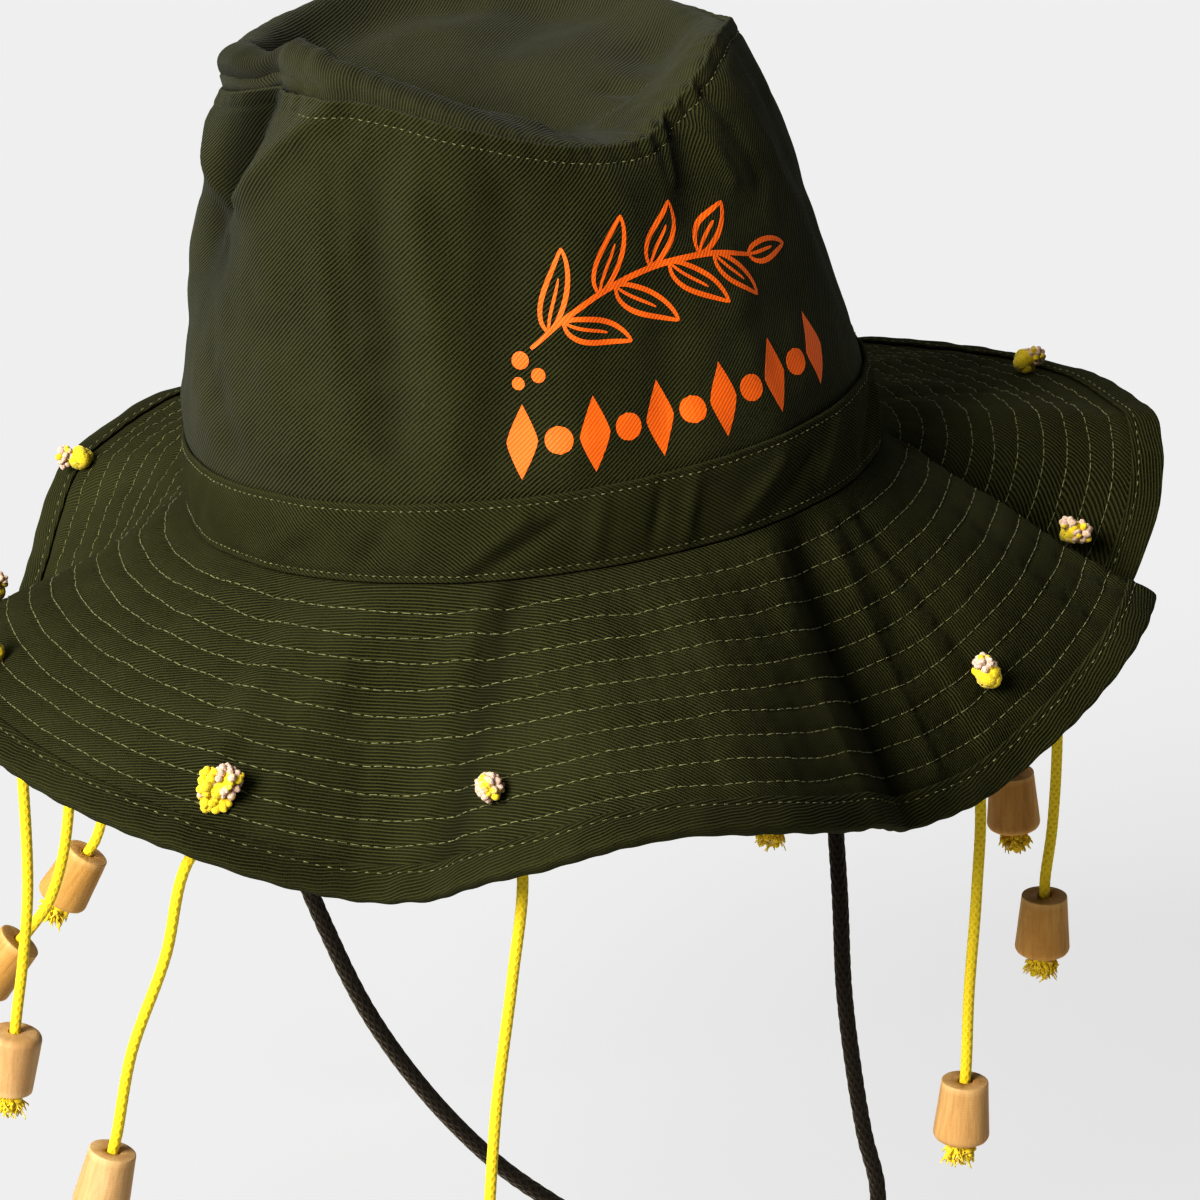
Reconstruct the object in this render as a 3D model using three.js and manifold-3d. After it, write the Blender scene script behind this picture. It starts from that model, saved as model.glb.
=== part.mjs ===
// A cloth hat with a tall caved crown and a wide waved brim, hung with ten turned corks on cords
// and with a chin cord. Millimetres, +Z up against gravity, -Y the wearer's front, +X the wearer's left.
// The origin is the middle of the head opening, on the seam where crown and brim meet.
// The hat sits tilted, as worn, and its cords hang from it.
import * as THREE from 'three';
import { mergeVertices } from 'three/addons/utils/BufferGeometryUtils.js';
import Module from 'manifold-3d';

const wasm = await Module();
wasm.setup();

// Head opening and crown
const headWidth = 170; // inside the crown at the brim seam, side to side
const headLength = 186; // the same, front to back
const crownHeight = 106; // brim seam to tip seam, up the middle
const crownTaper = 23; // how far the side wall leans in by the tip seam
const crownWall = 1.6;
const tipWall = 1.6;
const tipStep = 1.2; // the tip starts this far below the top edge of the side wall
const clothGap = 0.3; // between sewn pieces

// Band strip round the foot of the crown
const bandHeight = 20;
const bandWall = 1.2;

// Brim and the folded strip on its edge
const brimLength = 78; // from the band to the raw edge, along the cloth
const brimWall = 2.2;
const bindingWidth = 8;
const bindingWall = 0.8;

// Corks, cords and knots
const corkTopDiameter = 12;
const corkFootDiameter = 14.4;
const corkHeight = 16.4;
const corkEdgeRadius = 1.8;
const cordDiameter = 2.9;
const cordClearance = 0.3; // round the cord in the corks and in the holes of the brim
const cordStub = 6.5; // straight length of cord below the brim
const knotDiameter = 8; // of a knot on the brim
const knotTuft = 5.5; // frayed end beyond that knot
const tuftLift = 0.3; // slope of that end, up from the cloth
const tailKnotDiameter = 7.2; // of the knot under a cork
const tailTuft = 6.5;
const knotSeat = 0.3; // between a knot and what it rests on
const chinCordDiameter = 4.4;
const chinCordTuck = 11; // how far the chin cord reaches up inside the crown

// How the hat sits
const frontLift = 8; // degrees
const sideLift = 8; // degrees, the wearer's left side up

// Fineness of the faceted forms
const crownColumns = 48;
const crownRows = 6;
const brimColumns = 72;
const tipRings = [1, 0.92, 0.78, 0.52, 0.24];
const corkSides = 10;
const cordSides = 8;
const knotSides = 8;
const cordStepDiameters = 3; // length of one step along a cord

// How far the side wall has leant in (share of crownTaper) at each rise (share of the crown's height).
const crownProfile = [
  { rise: 0, inset: 0 },
  { rise: 0.2, inset: 0.06 },
  { rise: 0.5, inset: 0.31 },
  { rise: 0.75, inset: 0.57 },
  { rise: 0.9, inset: 0.78 },
  { rise: 1, inset: 1 },
];

// Height of the tip seam round the hat (share of crownHeight). Azimuth 0 is the front, 90 the wearer's left.
const seamLine = [
  { azimuth: -125, height: 1.01 },
  { azimuth: -60, height: 1.1 },
  { azimuth: 15, height: 0.91 },
  { azimuth: 52, height: 1.07 },
  { azimuth: 95, height: 1.01 },
  { azimuth: 170, height: 1.05 },
];

// Waves of the brim: its drop below the head opening's plane in degrees, and its reach (share of brimLength).
const brimWaves = [
  { azimuth: -165, drop: 5, reach: 1 },
  { azimuth: -152, drop: 10, reach: 1 },
  { azimuth: -140, drop: 27, reach: 1 },
  { azimuth: -130, drop: 35, reach: 1 },
  { azimuth: -108, drop: 19, reach: 1 },
  { azimuth: -90, drop: 22, reach: 1 },
  { azimuth: -60, drop: 38, reach: 1 },
  { azimuth: -40, drop: 58, reach: 1 },
  { azimuth: -27, drop: 46, reach: 1 },
  { azimuth: -12, drop: 38, reach: 1 },
  { azimuth: 0, drop: 44, reach: 1 },
  { azimuth: 12, drop: 57, reach: 1 },
  { azimuth: 24, drop: 68, reach: 1.05 },
  { azimuth: 34, drop: 66, reach: 1.07 },
  { azimuth: 45, drop: 55, reach: 1.04 },
  { azimuth: 56, drop: 42, reach: 1.03 },
  { azimuth: 63, drop: 39, reach: 1.03 },
  { azimuth: 70, drop: 50, reach: 1.02 },
  { azimuth: 78, drop: 22, reach: 1 },
  { azimuth: 84, drop: 13, reach: 1 },
  { azimuth: 100, drop: 12, reach: 1 },
  { azimuth: 125, drop: 12, reach: 1 },
  { azimuth: 150, drop: 27, reach: 1 },
  { azimuth: 178, drop: 18, reach: 1 },
];

// Folds of the side wall die out towards its foot, below this share of its height.
const foldFade = 0.15;

// Dents (out below 0) and folds of the side wall, each along a line from one place to another.
// Rises are shares of the wall's height; out and spread are shares of crownHeight.
const crownFolds = [
  { fromAzimuth: -82, fromRise: 0.98, toAzimuth: -92, toRise: 0.72, out: -0.085, spread: 0.12 },
  { fromAzimuth: -56, fromRise: 0.97, toAzimuth: -91, toRise: 0.69, out: 0.032, spread: 0.06 },
  { fromAzimuth: -108, fromRise: 0.95, toAzimuth: -93, toRise: 0.73, out: 0.028, spread: 0.06 },
  { fromAzimuth: 26, fromRise: 0.98, toAzimuth: 22, toRise: 0.84, out: -0.03, spread: 0.08 },
  { fromAzimuth: 92, fromRise: 0.2, toAzimuth: 96, toRise: 0.28, out: 0.035, spread: 0.09 },
  { fromAzimuth: 78, fromRise: 0.5, toAzimuth: 100, toRise: 0.42, out: -0.022, spread: 0.14 },
];

// The rolled ridge of cloth just inside the tip seam: its height round the hat (share of crownHeight), and
// where it runs and how wide it is (shares of the way from the middle of the tip to its seam).
const tipRoll = [
  { azimuth: -150, height: 0.1 },
  { azimuth: -125, height: 0.115 },
  { azimuth: -98, height: 0.148 },
  { azimuth: -80, height: 0.134 },
  { azimuth: -62, height: 0.134 },
  { azimuth: -50, height: 0.09 },
  { azimuth: -38, height: 0.06 },
  { azimuth: -15, height: 0.03 },
  { azimuth: 15, height: 0 },
  { azimuth: 30, height: 0 },
  { azimuth: 75, height: 0.03 },
  { azimuth: 130, height: 0.05 },
];
const tipRollAt = 0.88;
const tipRollSpread = 0.11;

// Ridges (up) and hollows (up below 0) of the tip, along lines in plan. Places are shares of the tip's
// half width and half length, with y below 0 at the front; up and spread are shares of crownHeight.
const tipFolds = [
  { fromX: -0.45, fromY: 0.05, toX: 0.2, toY: -0.4, up: -0.12, spread: 0.2 },
  { fromX: 0.55, fromY: -0.45, toX: 0.68, toY: -0.2, up: -0.05, spread: 0.1 },
];

// One row for each cork. across is the place of the hole (share of brimLength). tuft is the length of the brim
// knot's frayed end (share of knotTuft), and tuftTurn its direction in the cloth, in degrees from outward.
// hang is the cord's chosen points, from the end of its straight stub below the brim. The last one is the
// cork's near end, and corkAlong the cork's axis.
const corkLines = [
  { azimuth: -27.8, across: 0.72, tuft: 0.4, tuftTurn: 200, wideUp: false, corkAlong: [0, 0, -1],
    hang: [[3.5, -1.5, -18], [2.5, -1, -46], [0.5, 0, -80], [0, 0, -112]] },
  { azimuth: -57.7, across: 0.78, tuft: 1, tuftTurn: 120, wideUp: false, corkAlong: [-0.17, 0.07, -1],
    hang: [[-9, 4, -17], [-13, 5, -41], [-20, 8, -68], [-23.5, 9.5, -95]] },
  { azimuth: -94.4, across: 0.77, tuft: 1, tuftTurn: 150, wideUp: true, corkAlong: [-0.06, 0.02, -1],
    hang: [[3, -1, -28], [4.5, -2, -55], [4, -1.5, -74], [2.5, -1, -95]] },
  { azimuth: -112, across: 0.72, tuft: 1, tuftTurn: 90, wideUp: false, corkAlong: [-0.66, 0.27, -1],
    hang: [[13, -5, -30], [14, -5.5, -55], [10.5, -4, -74], [3.5, -1.5, -86]] },
  { azimuth: -150, across: 0.85, tuft: 1, tuftTurn: 60, wideUp: false, corkAlong: [-0.46, 0.18, -1],
    hang: [[1, -0.5, -30], [2.5, -1, -63], [1.5, -0.5, -92], [-2.5, 1, -107]] },
  { azimuth: 173, across: 0.76, tuft: 1, tuftTurn: 180, wideUp: false, corkAlong: [0, 0, -1],
    hang: [[1, 1, -20], [2, 0.5, -50], [1, -0.5, -76], [0.5, 0, -96]] },
  { azimuth: 138, across: 0.76, tuft: 1, tuftTurn: 230, wideUp: false, corkAlong: [0, 0, -1],
    hang: [[4, -1.5, -26], [8, -3, -56], [11, -4.5, -86], [12.5, -5, -108]] },
  { azimuth: 100, across: 0.8, tuft: 1, tuftTurn: 350, wideUp: false, corkAlong: [0.1, -0.04, -1],
    hang: [[0.5, 0, -28], [2, -0.5, -56], [3.5, -1, -82], [4.5, -1.5, -105]] },
  { azimuth: 73, across: 0.75, tuft: 1, tuftTurn: 300, wideUp: false, corkAlong: [0.03, -0.01, -1],
    hang: [[2.5, -0.5, -24], [5.5, -1, -53], [6.2, -1, -80], [5.5, -1, -99.5]] },
  { azimuth: 41, across: 0.725, tuft: 1, tuftTurn: 170, wideUp: false, corkAlong: [0, 0, -1],
    hang: [[6.5, -2.5, -30], [7.5, -3, -58], [7.5, -3, -86], [8, -3.5, -110]] },
];

// The chin cord's chosen points between its two tucked ends: a loop that hangs from the sides of the hat.
const chinRoute = [
  [-79, 0, -26], [-73, 0, -60], [-63, 0, -94], [-51, 0, -123], [-38, 0, -149], [-20, 0, -175], [0, 0, -197],
  [17, 0, -211], [38, 0, -226], [57, 0, -237], [75, 0, -245], [91, 0, -248], [104, 0, -245], [111, 0, -234],
  [111, 0, -219], [106, 0, -202], [101, 0, -180], [97, 0, -158], [94, 0, -131], [90, 0, -100], [86, 0, -60],
  [83, 0, -22],
];

const radians = THREE.MathUtils.degToRad;

// A smooth value between the rows of a table, which never swings past them. With a period the table is a ring.
function tableValue(rows, place, column, at, period = 0) {
  const last = rows.length - 1;
  const copy = (row, turn) => ({ place: row[place] + turn * period, value: row[column] });
  const knots = rows.map((row) => copy(row, 0));
  if (period) {
    knots.unshift(copy(rows[last - 1], -1), copy(rows[last], -1));
    knots.push(copy(rows[0], 1), copy(rows[1], 1));
  }
  const start = knots[period ? 1 : 0].place;
  const x = period ? THREE.MathUtils.euclideanModulo(at - start, period) + start : at;
  const rise = (i) => (knots[i + 1].value - knots[i].value) / (knots[i + 1].place - knots[i].place);
  const slope = (i) => {
    if (i === 0) return rise(0);
    if (i === knots.length - 1) return rise(i - 1);
    const before = rise(i - 1);
    const after = rise(i);
    return before * after <= 0 ? 0 : (2 * before * after) / (before + after);
  };
  let i = period ? 1 : 0;
  while (i < knots.length - 2 && knots[i + 1].place <= x) i += 1;
  const width = knots[i + 1].place - knots[i].place;
  const t = (x - knots[i].place) / width;
  return (2 * t ** 3 - 3 * t ** 2 + 1) * knots[i].value
    + (t ** 3 - 2 * t ** 2 + t) * slope(i) * width
    + (3 * t ** 2 - 2 * t ** 3) * knots[i + 1].value
    + (t ** 3 - t ** 2) * slope(i + 1) * width;
}

// How far a place lies from the line between two others, and from that the height of a soft fold there.
function foldHeight(x, y, fromX, fromY, toX, toY, height, spread) {
  const alongX = toX - fromX;
  const alongY = toY - fromY;
  const share = ((x - fromX) * alongX + (y - fromY) * alongY) / (alongX ** 2 + alongY ** 2);
  const near = THREE.MathUtils.clamp(share, 0, 1);
  const away = Math.hypot(x - fromX - near * alongX, y - fromY - near * alongY);
  return height * Math.exp(-((away / spread) ** 2));
}

// A place on the head opening's oval, moved outwards by out and up by up.
function ovalPlace(azimuth, out, up) {
  const angle = radians(azimuth);
  const normal = new THREE.Vector3(Math.sin(angle) / headWidth, -Math.cos(angle) / headLength, 0).normalize();
  const foot = new THREE.Vector3(Math.sin(angle) * headWidth / 2, -Math.cos(angle) * headLength / 2, up);
  return foot.addScaledVector(normal, out);
}

const seamHeight = (azimuth) => crownHeight * tableValue(seamLine, 'azimuth', 'height', azimuth, 360);

// Outer face of the crown's side wall, as its distance outside the head opening's oval.
function crownOut(azimuth, rise) {
  const millimetresPerDegree = radians(headWidth / 2);
  const aboveFoot = THREE.MathUtils.smoothstep(rise, 0, foldFade);
  let out = crownWall - crownTaper * tableValue(crownProfile, 'rise', 'inset', rise);
  for (const fold of crownFolds) {
    out += aboveFoot * foldHeight(
      azimuth * millimetresPerDegree, rise * crownHeight,
      fold.fromAzimuth * millimetresPerDegree, fold.fromRise * crownHeight,
      fold.toAzimuth * millimetresPerDegree, fold.toRise * crownHeight,
      fold.out * crownHeight, fold.spread * crownHeight,
    );
  }
  return out;
}

// The wall's rows: the first one from the foot to the top of the band, the others even up to the seam.
function rowHeight(azimuth, row) {
  const share = Math.max(row - 1, 0) / (crownRows - 1);
  return row === 0 ? 0 : THREE.MathUtils.lerp(bandHeight, seamHeight(azimuth), share);
}

// The outer face under the band, at a height in millimetres.
function footOut(azimuth, up) {
  const bandTop = crownOut(azimuth, bandHeight / seamHeight(azimuth));
  return THREE.MathUtils.lerp(crownOut(azimuth, 0), bandTop, up / bandHeight);
}

// The closed section of a thin wall, from its outer points, given from the foot upwards.
function wallSection(outerPoints, wall) {
  const inner = outerPoints.map((point, i) => {
    const before = outerPoints[Math.max(i - 1, 0)];
    const after = outerPoints[Math.min(i + 1, outerPoints.length - 1)];
    const length = Math.hypot(after[0] - before[0], after[1] - before[1]);
    const acrossOut = (after[1] - before[1]) / length;
    const acrossUp = (before[0] - after[0]) / length;
    return [point[0] - acrossOut * wall, point[1] - acrossUp * wall];
  });
  return [...outerPoints, ...inner.reverse()];
}

// A closed ring of cloth: the closed section at each azimuth, joined all the way round. Each patch is split
// from its end nearer the head to its end further out, so that walls which lie side by side split alike.
function ringGeometry(sectionAt, columns) {
  const azimuthOf = (column) => (column * 360) / columns - 180;
  const sections = Array.from({ length: columns }, (_, column) => sectionAt(azimuthOf(column)));
  const count = sections[0].length;
  const positions = sections.flatMap((section, column) => (
    section.flatMap(([out, up]) => ovalPlace(azimuthOf(column), out, up).toArray())
  ));
  const faces = [];
  for (let column = 0; column < columns; column += 1) {
    const next = (column + 1) % columns;
    const outAt = (i) => sections[column][i][0] + sections[next][i][0];
    for (let i = 0; i < count; i += 1) {
      const j = (i + 1) % count;
      const [a, b, c, d] = [column * count + i, next * count + i, next * count + j, column * count + j];
      if (outAt(i) <= outAt(j)) faces.push(a, b, c, a, c, d);
      else faces.push(a, b, d, b, c, d);
    }
  }
  return indexedGeometry(positions, faces);
}

function indexedGeometry(positions, faces) {
  const geometry = new THREE.BufferGeometry();
  geometry.setAttribute('position', new THREE.Float32BufferAttribute(positions, 3));
  geometry.setIndex(faces);
  return geometry;
}

function crownSideSection(azimuth) {
  const outer = [];
  for (let row = 0; row <= crownRows; row += 1) {
    const up = rowHeight(azimuth, row);
    outer.push([crownOut(azimuth, up / seamHeight(azimuth)), up]);
  }
  const section = wallSection(outer, crownWall);
  section[section.length - 1][1] = 0; // the foot is cut level
  return section;
}

// The band follows the foot of the crown at a small gap.
function bandSection(azimuth) {
  const outer = [0, bandHeight].map((up) => [footOut(azimuth, up) + clothGap + bandWall, up]);
  const inner = outer.map(([out, up]) => [out - bandWall, up]);
  return [...outer, ...inner.reverse()];
}

// Places across the brim: a flat lip under the crown and band, then a straight fall at this azimuth's drop.
const lipWidth = crownWall + clothGap + bandWall;

function brimFall(azimuth) {
  const drop = radians(tableValue(brimWaves, 'azimuth', 'drop', azimuth, 360));
  const reach = brimLength * tableValue(brimWaves, 'azimuth', 'reach', azimuth, 360);
  return { outShare: Math.cos(drop), downShare: Math.sin(drop), halfTurn: Math.tan(drop / 2), reach };
}

// A point of the brim: along is measured from the lip, and depth is how far below the top face it lies.
function brimPoint(fall, along, depth) {
  return [
    lipWidth + along * fall.outShare - depth * fall.downShare,
    -clothGap - along * fall.downShare - depth * fall.outShare,
  ];
}

function brimSection(azimuth) {
  const fall = brimFall(azimuth);
  const top = [[0, -clothGap], [lipWidth, -clothGap]];
  const under = [[0, -clothGap - brimWall], [lipWidth - brimWall * fall.halfTurn, -clothGap - brimWall]];
  const clothEnds = fall.reach - bindingWidth;
  for (const along of [clothEnds / 2, clothEnds, fall.reach]) {
    top.push(brimPoint(fall, along, 0));
    under.push(brimPoint(fall, along, brimWall));
  }
  return [...top.reverse(), ...under];
}

// The binding wraps the edge: up over the top face, round the raw edge and back along the underside.
function bindingSection(azimuth) {
  const fall = brimFall(azimuth);
  const start = fall.reach - bindingWidth;
  const fold = fall.reach + clothGap;
  const outerTop = -clothGap - bindingWall;
  const outerUnder = brimWall + clothGap + bindingWall;
  return [
    brimPoint(fall, start, outerTop),
    brimPoint(fall, start, -clothGap),
    brimPoint(fall, fold, -clothGap),
    brimPoint(fall, fold, brimWall + clothGap),
    brimPoint(fall, start, brimWall + clothGap),
    brimPoint(fall, start, outerUnder),
    brimPoint(fall, fold, outerUnder),
    brimPoint(fall, fold + bindingWall, brimWall / 2),
    brimPoint(fall, fold, outerTop),
  ];
}

// Height of the tip's top face. ring is 1 at the seam and 0 in the middle.
function tipHeight(azimuth, ring) {
  const angle = radians(azimuth);
  const x = ring * Math.sin(angle) * (headWidth / 2 - crownTaper);
  const y = -ring * Math.cos(angle) * (headLength / 2 - crownTaper);
  const roll = tableValue(tipRoll, 'azimuth', 'height', azimuth, 360) * crownHeight;
  const nearSeam = 1 - ring ** 32;
  let height = THREE.MathUtils.lerp(crownHeight, seamHeight(azimuth), ring ** 2) - tipStep;
  height += nearSeam * roll * Math.exp(-(((ring - tipRollAt) / tipRollSpread) ** 2));
  for (const fold of tipFolds) {
    const [halfX, halfY] = [headWidth / 2 - crownTaper, headLength / 2 - crownTaper];
    height += nearSeam * foldHeight(
      x, y, fold.fromX * halfX, fold.fromY * halfY, fold.toX * halfX, fold.toY * halfY,
      fold.up * crownHeight, fold.spread * crownHeight,
    );
  }
  return height;
}

// The tip is a dished oval of cloth set inside the top of the side wall.
function tipGeometry() {
  const positions = [0, 0, tipHeight(0, 0)];
  const rimOut = (azimuth) => crownOut(azimuth, 1) - crownWall - clothGap;
  const centre = new THREE.Vector3();
  const layers = [...tipRings].reverse().map((ring) => ({ ring, depth: 0 }));
  layers.push(...tipRings.map((ring) => ({ ring, depth: tipWall })));
  for (const { ring, depth } of layers) {
    for (let column = 0; column < crownColumns; column += 1) {
      const azimuth = (column * 360) / crownColumns - 180;
      const rim = ovalPlace(azimuth, rimOut(azimuth), 0);
      const place = centre.clone().lerp(rim, ring);
      positions.push(place.x, place.y, tipHeight(azimuth, ring) - depth);
    }
  }
  positions.push(0, 0, tipHeight(0, 0) - tipWall);
  const faces = [];
  const under = layers.length * crownColumns + 1;
  for (let column = 0; column < crownColumns; column += 1) {
    const next = (column + 1) % crownColumns;
    faces.push(0, 1 + column, 1 + next);
    for (let layer = 0; layer < layers.length - 1; layer += 1) {
      const near = 1 + layer * crownColumns;
      const far = near + crownColumns;
      faces.push(near + column, far + column, far + next, near + column, far + next, near + next);
    }
    const lowest = under - crownColumns;
    faces.push(lowest + column, under, lowest + next);
  }
  return indexedGeometry(positions, faces);
}

// Closed meshes to solids and back, for the holes in the brim.
function toSolid(geometry) {
  const bare = geometry.clone();
  bare.deleteAttribute('normal');
  bare.deleteAttribute('uv');
  const merged = mergeVertices(bare);
  return new wasm.Manifold(new wasm.Mesh({
    numProp: 3,
    vertProperties: new Float32Array(merged.attributes.position.array),
    triVerts: new Uint32Array(merged.index.array),
  }));
}

function toGeometry(solid) {
  const mesh = solid.getMesh();
  return indexedGeometry(Array.from(mesh.vertProperties), Array.from(mesh.triVerts));
}

// A place on the faceted brim's top face, which is straight between two columns.
function brimTop(azimuth, along) {
  const step = 360 / brimColumns;
  const before = Math.floor(azimuth / step) * step;
  const [near, far] = [before, before + step].map((column) => (
    ovalPlace(column, ...brimPoint(brimFall(column), along, 0))
  ));
  return near.lerp(far, (azimuth - before) / step);
}

// The frame of the brim's top face at a hole: where it is, straight up from the cloth, and along it.
function holeFrame(line) {
  const along = line.across * brimLength;
  const place = brimTop(line.azimuth, along);
  const step = 2.5;
  const round = brimTop(line.azimuth + step, along).sub(brimTop(line.azimuth - step, along));
  const outward = brimTop(line.azimuth, along + step).sub(place).normalize();
  const up = round.cross(outward).negate().normalize();
  return { place, up, outward, side: up.clone().cross(outward) };
}

// A lumpy knot about its own axis, which runs up from 0: a ball, a neck and a frayed tuft.
const knotLump = 0.12;

function knotGeometry(diameter, tuft, twist) {
  const radius = diameter / 2;
  const ball = [[0, 0], [0.72, 0.22], [1, 0.95], [0.78, 1.62], [0.5, 1.92]];
  const outline = ball.map(([across, up]) => new THREE.Vector2(across * radius, up * radius));
  const neck = outline[outline.length - 1].y;
  outline.push(new THREE.Vector2(radius * 0.8, neck + tuft * 0.7), new THREE.Vector2(0, neck + tuft));
  const geometry = new THREE.LatheGeometry(outline, knotSides);
  const position = geometry.attributes.position;
  for (let i = 0; i < position.count; i += 1) {
    const [x, y, z] = [position.getX(i), position.getY(i), position.getZ(i)];
    const lump = 1 + knotLump * Math.cos(3 * Math.atan2(z, x) + y + twist);
    position.setXYZ(i, x * lump, y, z * lump);
  }
  return geometry;
}

// A tapered cork about its own axis, drilled for its cord. It hangs down from 0.
function corkGeometry(wideUp) {
  const bore = cordDiameter / 2 + cordClearance;
  const narrow = corkTopDiameter / 2;
  const wide = corkFootDiameter / 2;
  const round = corkEdgeRadius;
  const fromWideEnd = [
    [bore, 0], [wide - round, 0], [wide - round * 0.3, round * 0.3], [wide, round],
    [narrow, corkHeight - round / 3], [narrow - round / 3, corkHeight], [bore, corkHeight], [bore, 0],
  ];
  const outline = fromWideEnd.map(([across, up]) => new THREE.Vector2(across, wideUp ? -up : up - corkHeight));
  if (wideUp) outline.reverse();
  return new THREE.LatheGeometry(outline, corkSides);
}

// A round cord through chosen points.
function cordGeometry(points, diameter) {
  const path = new THREE.CatmullRomCurve3(points, false, 'centripetal');
  const section = new THREE.Shape();
  for (let side = 0; side < cordSides; side += 1) {
    const angle = (side * 2 * Math.PI) / cordSides;
    const [x, y] = [Math.cos(angle) * diameter / 2, Math.sin(angle) * diameter / 2];
    if (side === 0) section.moveTo(x, y);
    else section.lineTo(x, y);
  }
  section.closePath();
  const steps = Math.round(path.getLength() / (cordStepDiameters * diameter));
  return new THREE.ExtrudeGeometry(section, { steps, bevelEnabled: false, extrudePath: path });
}

const twill = new THREE.MeshStandardMaterial({ color: 0x34371f, roughness: 0.9 });
const twillBand = new THREE.MeshStandardMaterial({ color: 0x2f331d, roughness: 0.88 });
const twillBinding = new THREE.MeshStandardMaterial({ color: 0x2b2f1b, roughness: 0.88 });
const paleWood = new THREE.MeshStandardMaterial({ color: 0xd3a877, roughness: 0.6 });
const yellowCord = new THREE.MeshStandardMaterial({ color: 0xf2dc1c, roughness: 0.85 });
const darkCord = new THREE.MeshStandardMaterial({ color: 0x2a2114, roughness: 0.9 });

function piece(parent, name, geometry, material) {
  const mesh = new THREE.Mesh(geometry, material.clone());
  mesh.name = name;
  parent.add(mesh);
  return mesh;
}

// Turns a piece so that its own direction from points to.
function aim(mesh, from, to) {
  mesh.quaternion.setFromUnitVectors(from, to.clone().normalize());
}

const corkHat = new THREE.Group();
const hat = new THREE.Group();
hat.rotation.set(radians(-frontLift), radians(-sideLift), 0, 'YXZ');
corkHat.add(hat);
corkHat.updateMatrixWorld();

piece(hat, 'crown_side', ringGeometry(crownSideSection, crownColumns), twill);
piece(hat, 'crown_tip', tipGeometry(), twill);
piece(hat, 'hat_band', ringGeometry(bandSection, crownColumns), twillBand);
piece(hat, 'brim_binding', ringGeometry(bindingSection, brimColumns), twillBinding);

// The brim, with a hole for each cork's cord.
const up = new THREE.Vector3(0, 1, 0);
const down = new THREE.Vector3(0, -1, 0);
let brimSolid = toSolid(ringGeometry(brimSection, brimColumns));
for (const line of corkLines) {
  const frame = holeFrame(line);
  const drill = new THREE.CylinderGeometry(1, 1, brimWall * 4, cordSides);
  const drillRadius = cordDiameter / 2 + cordClearance;
  drill.scale(drillRadius, 1, drillRadius);
  drill.applyQuaternion(new THREE.Quaternion().setFromUnitVectors(up, frame.up));
  drill.translate(...frame.place.toArray());
  brimSolid = brimSolid.subtract(toSolid(drill));
}
piece(hat, 'brim', toGeometry(brimSolid), twill);

// Each cork with its cord, the knot on the brim that holds the cord and the knot that holds the cork.
corkLines.forEach((line, i) => {
  const label = String(i + 1).padStart(2, '0');
  const frame = holeFrame(line);
  const knotHeight = (knotDiameter / 2) * (1 + knotLump) + knotSeat;
  const turn = radians(line.tuftTurn);
  const tuftWay = frame.outward.clone().multiplyScalar(Math.cos(turn)).addScaledVector(frame.side, Math.sin(turn));
  tuftWay.addScaledVector(frame.up, tuftLift).normalize();
  const topKnot = piece(hat, `top_knot_${label}`, knotGeometry(knotDiameter, knotTuft * line.tuft, i), yellowCord);
  topKnot.position.copy(frame.place).addScaledVector(frame.up, knotHeight);
  topKnot.position.addScaledVector(tuftWay, -knotDiameter / 2);
  aim(topKnot, up, tuftWay);

  const exit = frame.place.clone().applyMatrix4(hat.matrixWorld);
  const through = frame.up.clone().transformDirection(hat.matrixWorld).negate();
  const stubEnd = exit.clone().addScaledVector(through, brimWall + cordStub);
  const hang = line.hang.map((point) => new THREE.Vector3(...point).add(stubEnd));
  const corkEnd = hang.pop();
  const along = new THREE.Vector3(...line.corkAlong).normalize();
  const inCork = [-0.3, 0, 0.5, 1].map(
    (share) => corkEnd.clone().addScaledVector(along, share * corkHeight),
  );
  const route = [exit, exit.clone().addScaledVector(through, brimWall), stubEnd, ...hang, ...inCork];
  piece(corkHat, `cork_cord_${label}`, cordGeometry(route, cordDiameter), yellowCord);

  const cork = piece(corkHat, `cork_${label}`, corkGeometry(line.wideUp), paleWood);
  cork.position.copy(corkEnd);
  aim(cork, down, along);

  const tailKnot = piece(corkHat, `tail_knot_${label}`, knotGeometry(tailKnotDiameter, tailTuft, i + 0.5), yellowCord);
  tailKnot.position.copy(corkEnd).addScaledVector(along, corkHeight + knotSeat);
  aim(tailKnot, up, along);
});

// The chin cord: its ends are tucked up inside the crown at the two sides.
function chinEnd(azimuth, height) {
  const out = footOut(azimuth, height) - crownWall - clothGap - chinCordDiameter / 2;
  return ovalPlace(azimuth, out, height).applyMatrix4(hat.matrixWorld);
}
const chinPoints = [
  chinEnd(-90, chinCordTuck), chinEnd(-90, 0),
  ...chinRoute.map((point) => new THREE.Vector3(...point)),
  chinEnd(90, 0), chinEnd(90, chinCordTuck),
];
piece(corkHat, 'chin_cord', cordGeometry(chinPoints, chinCordDiameter), darkCord);

export default corkHat;
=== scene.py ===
# Cork hat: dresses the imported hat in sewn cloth, stitching, cords, knots and turned corks.
# Shapes are worked out in millimetres in the hat's own untilted frame, then turned into the row frame in metres.
import math
import random

import bpy
import numpy as np
from mathutils import Matrix, Vector, noise


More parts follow.
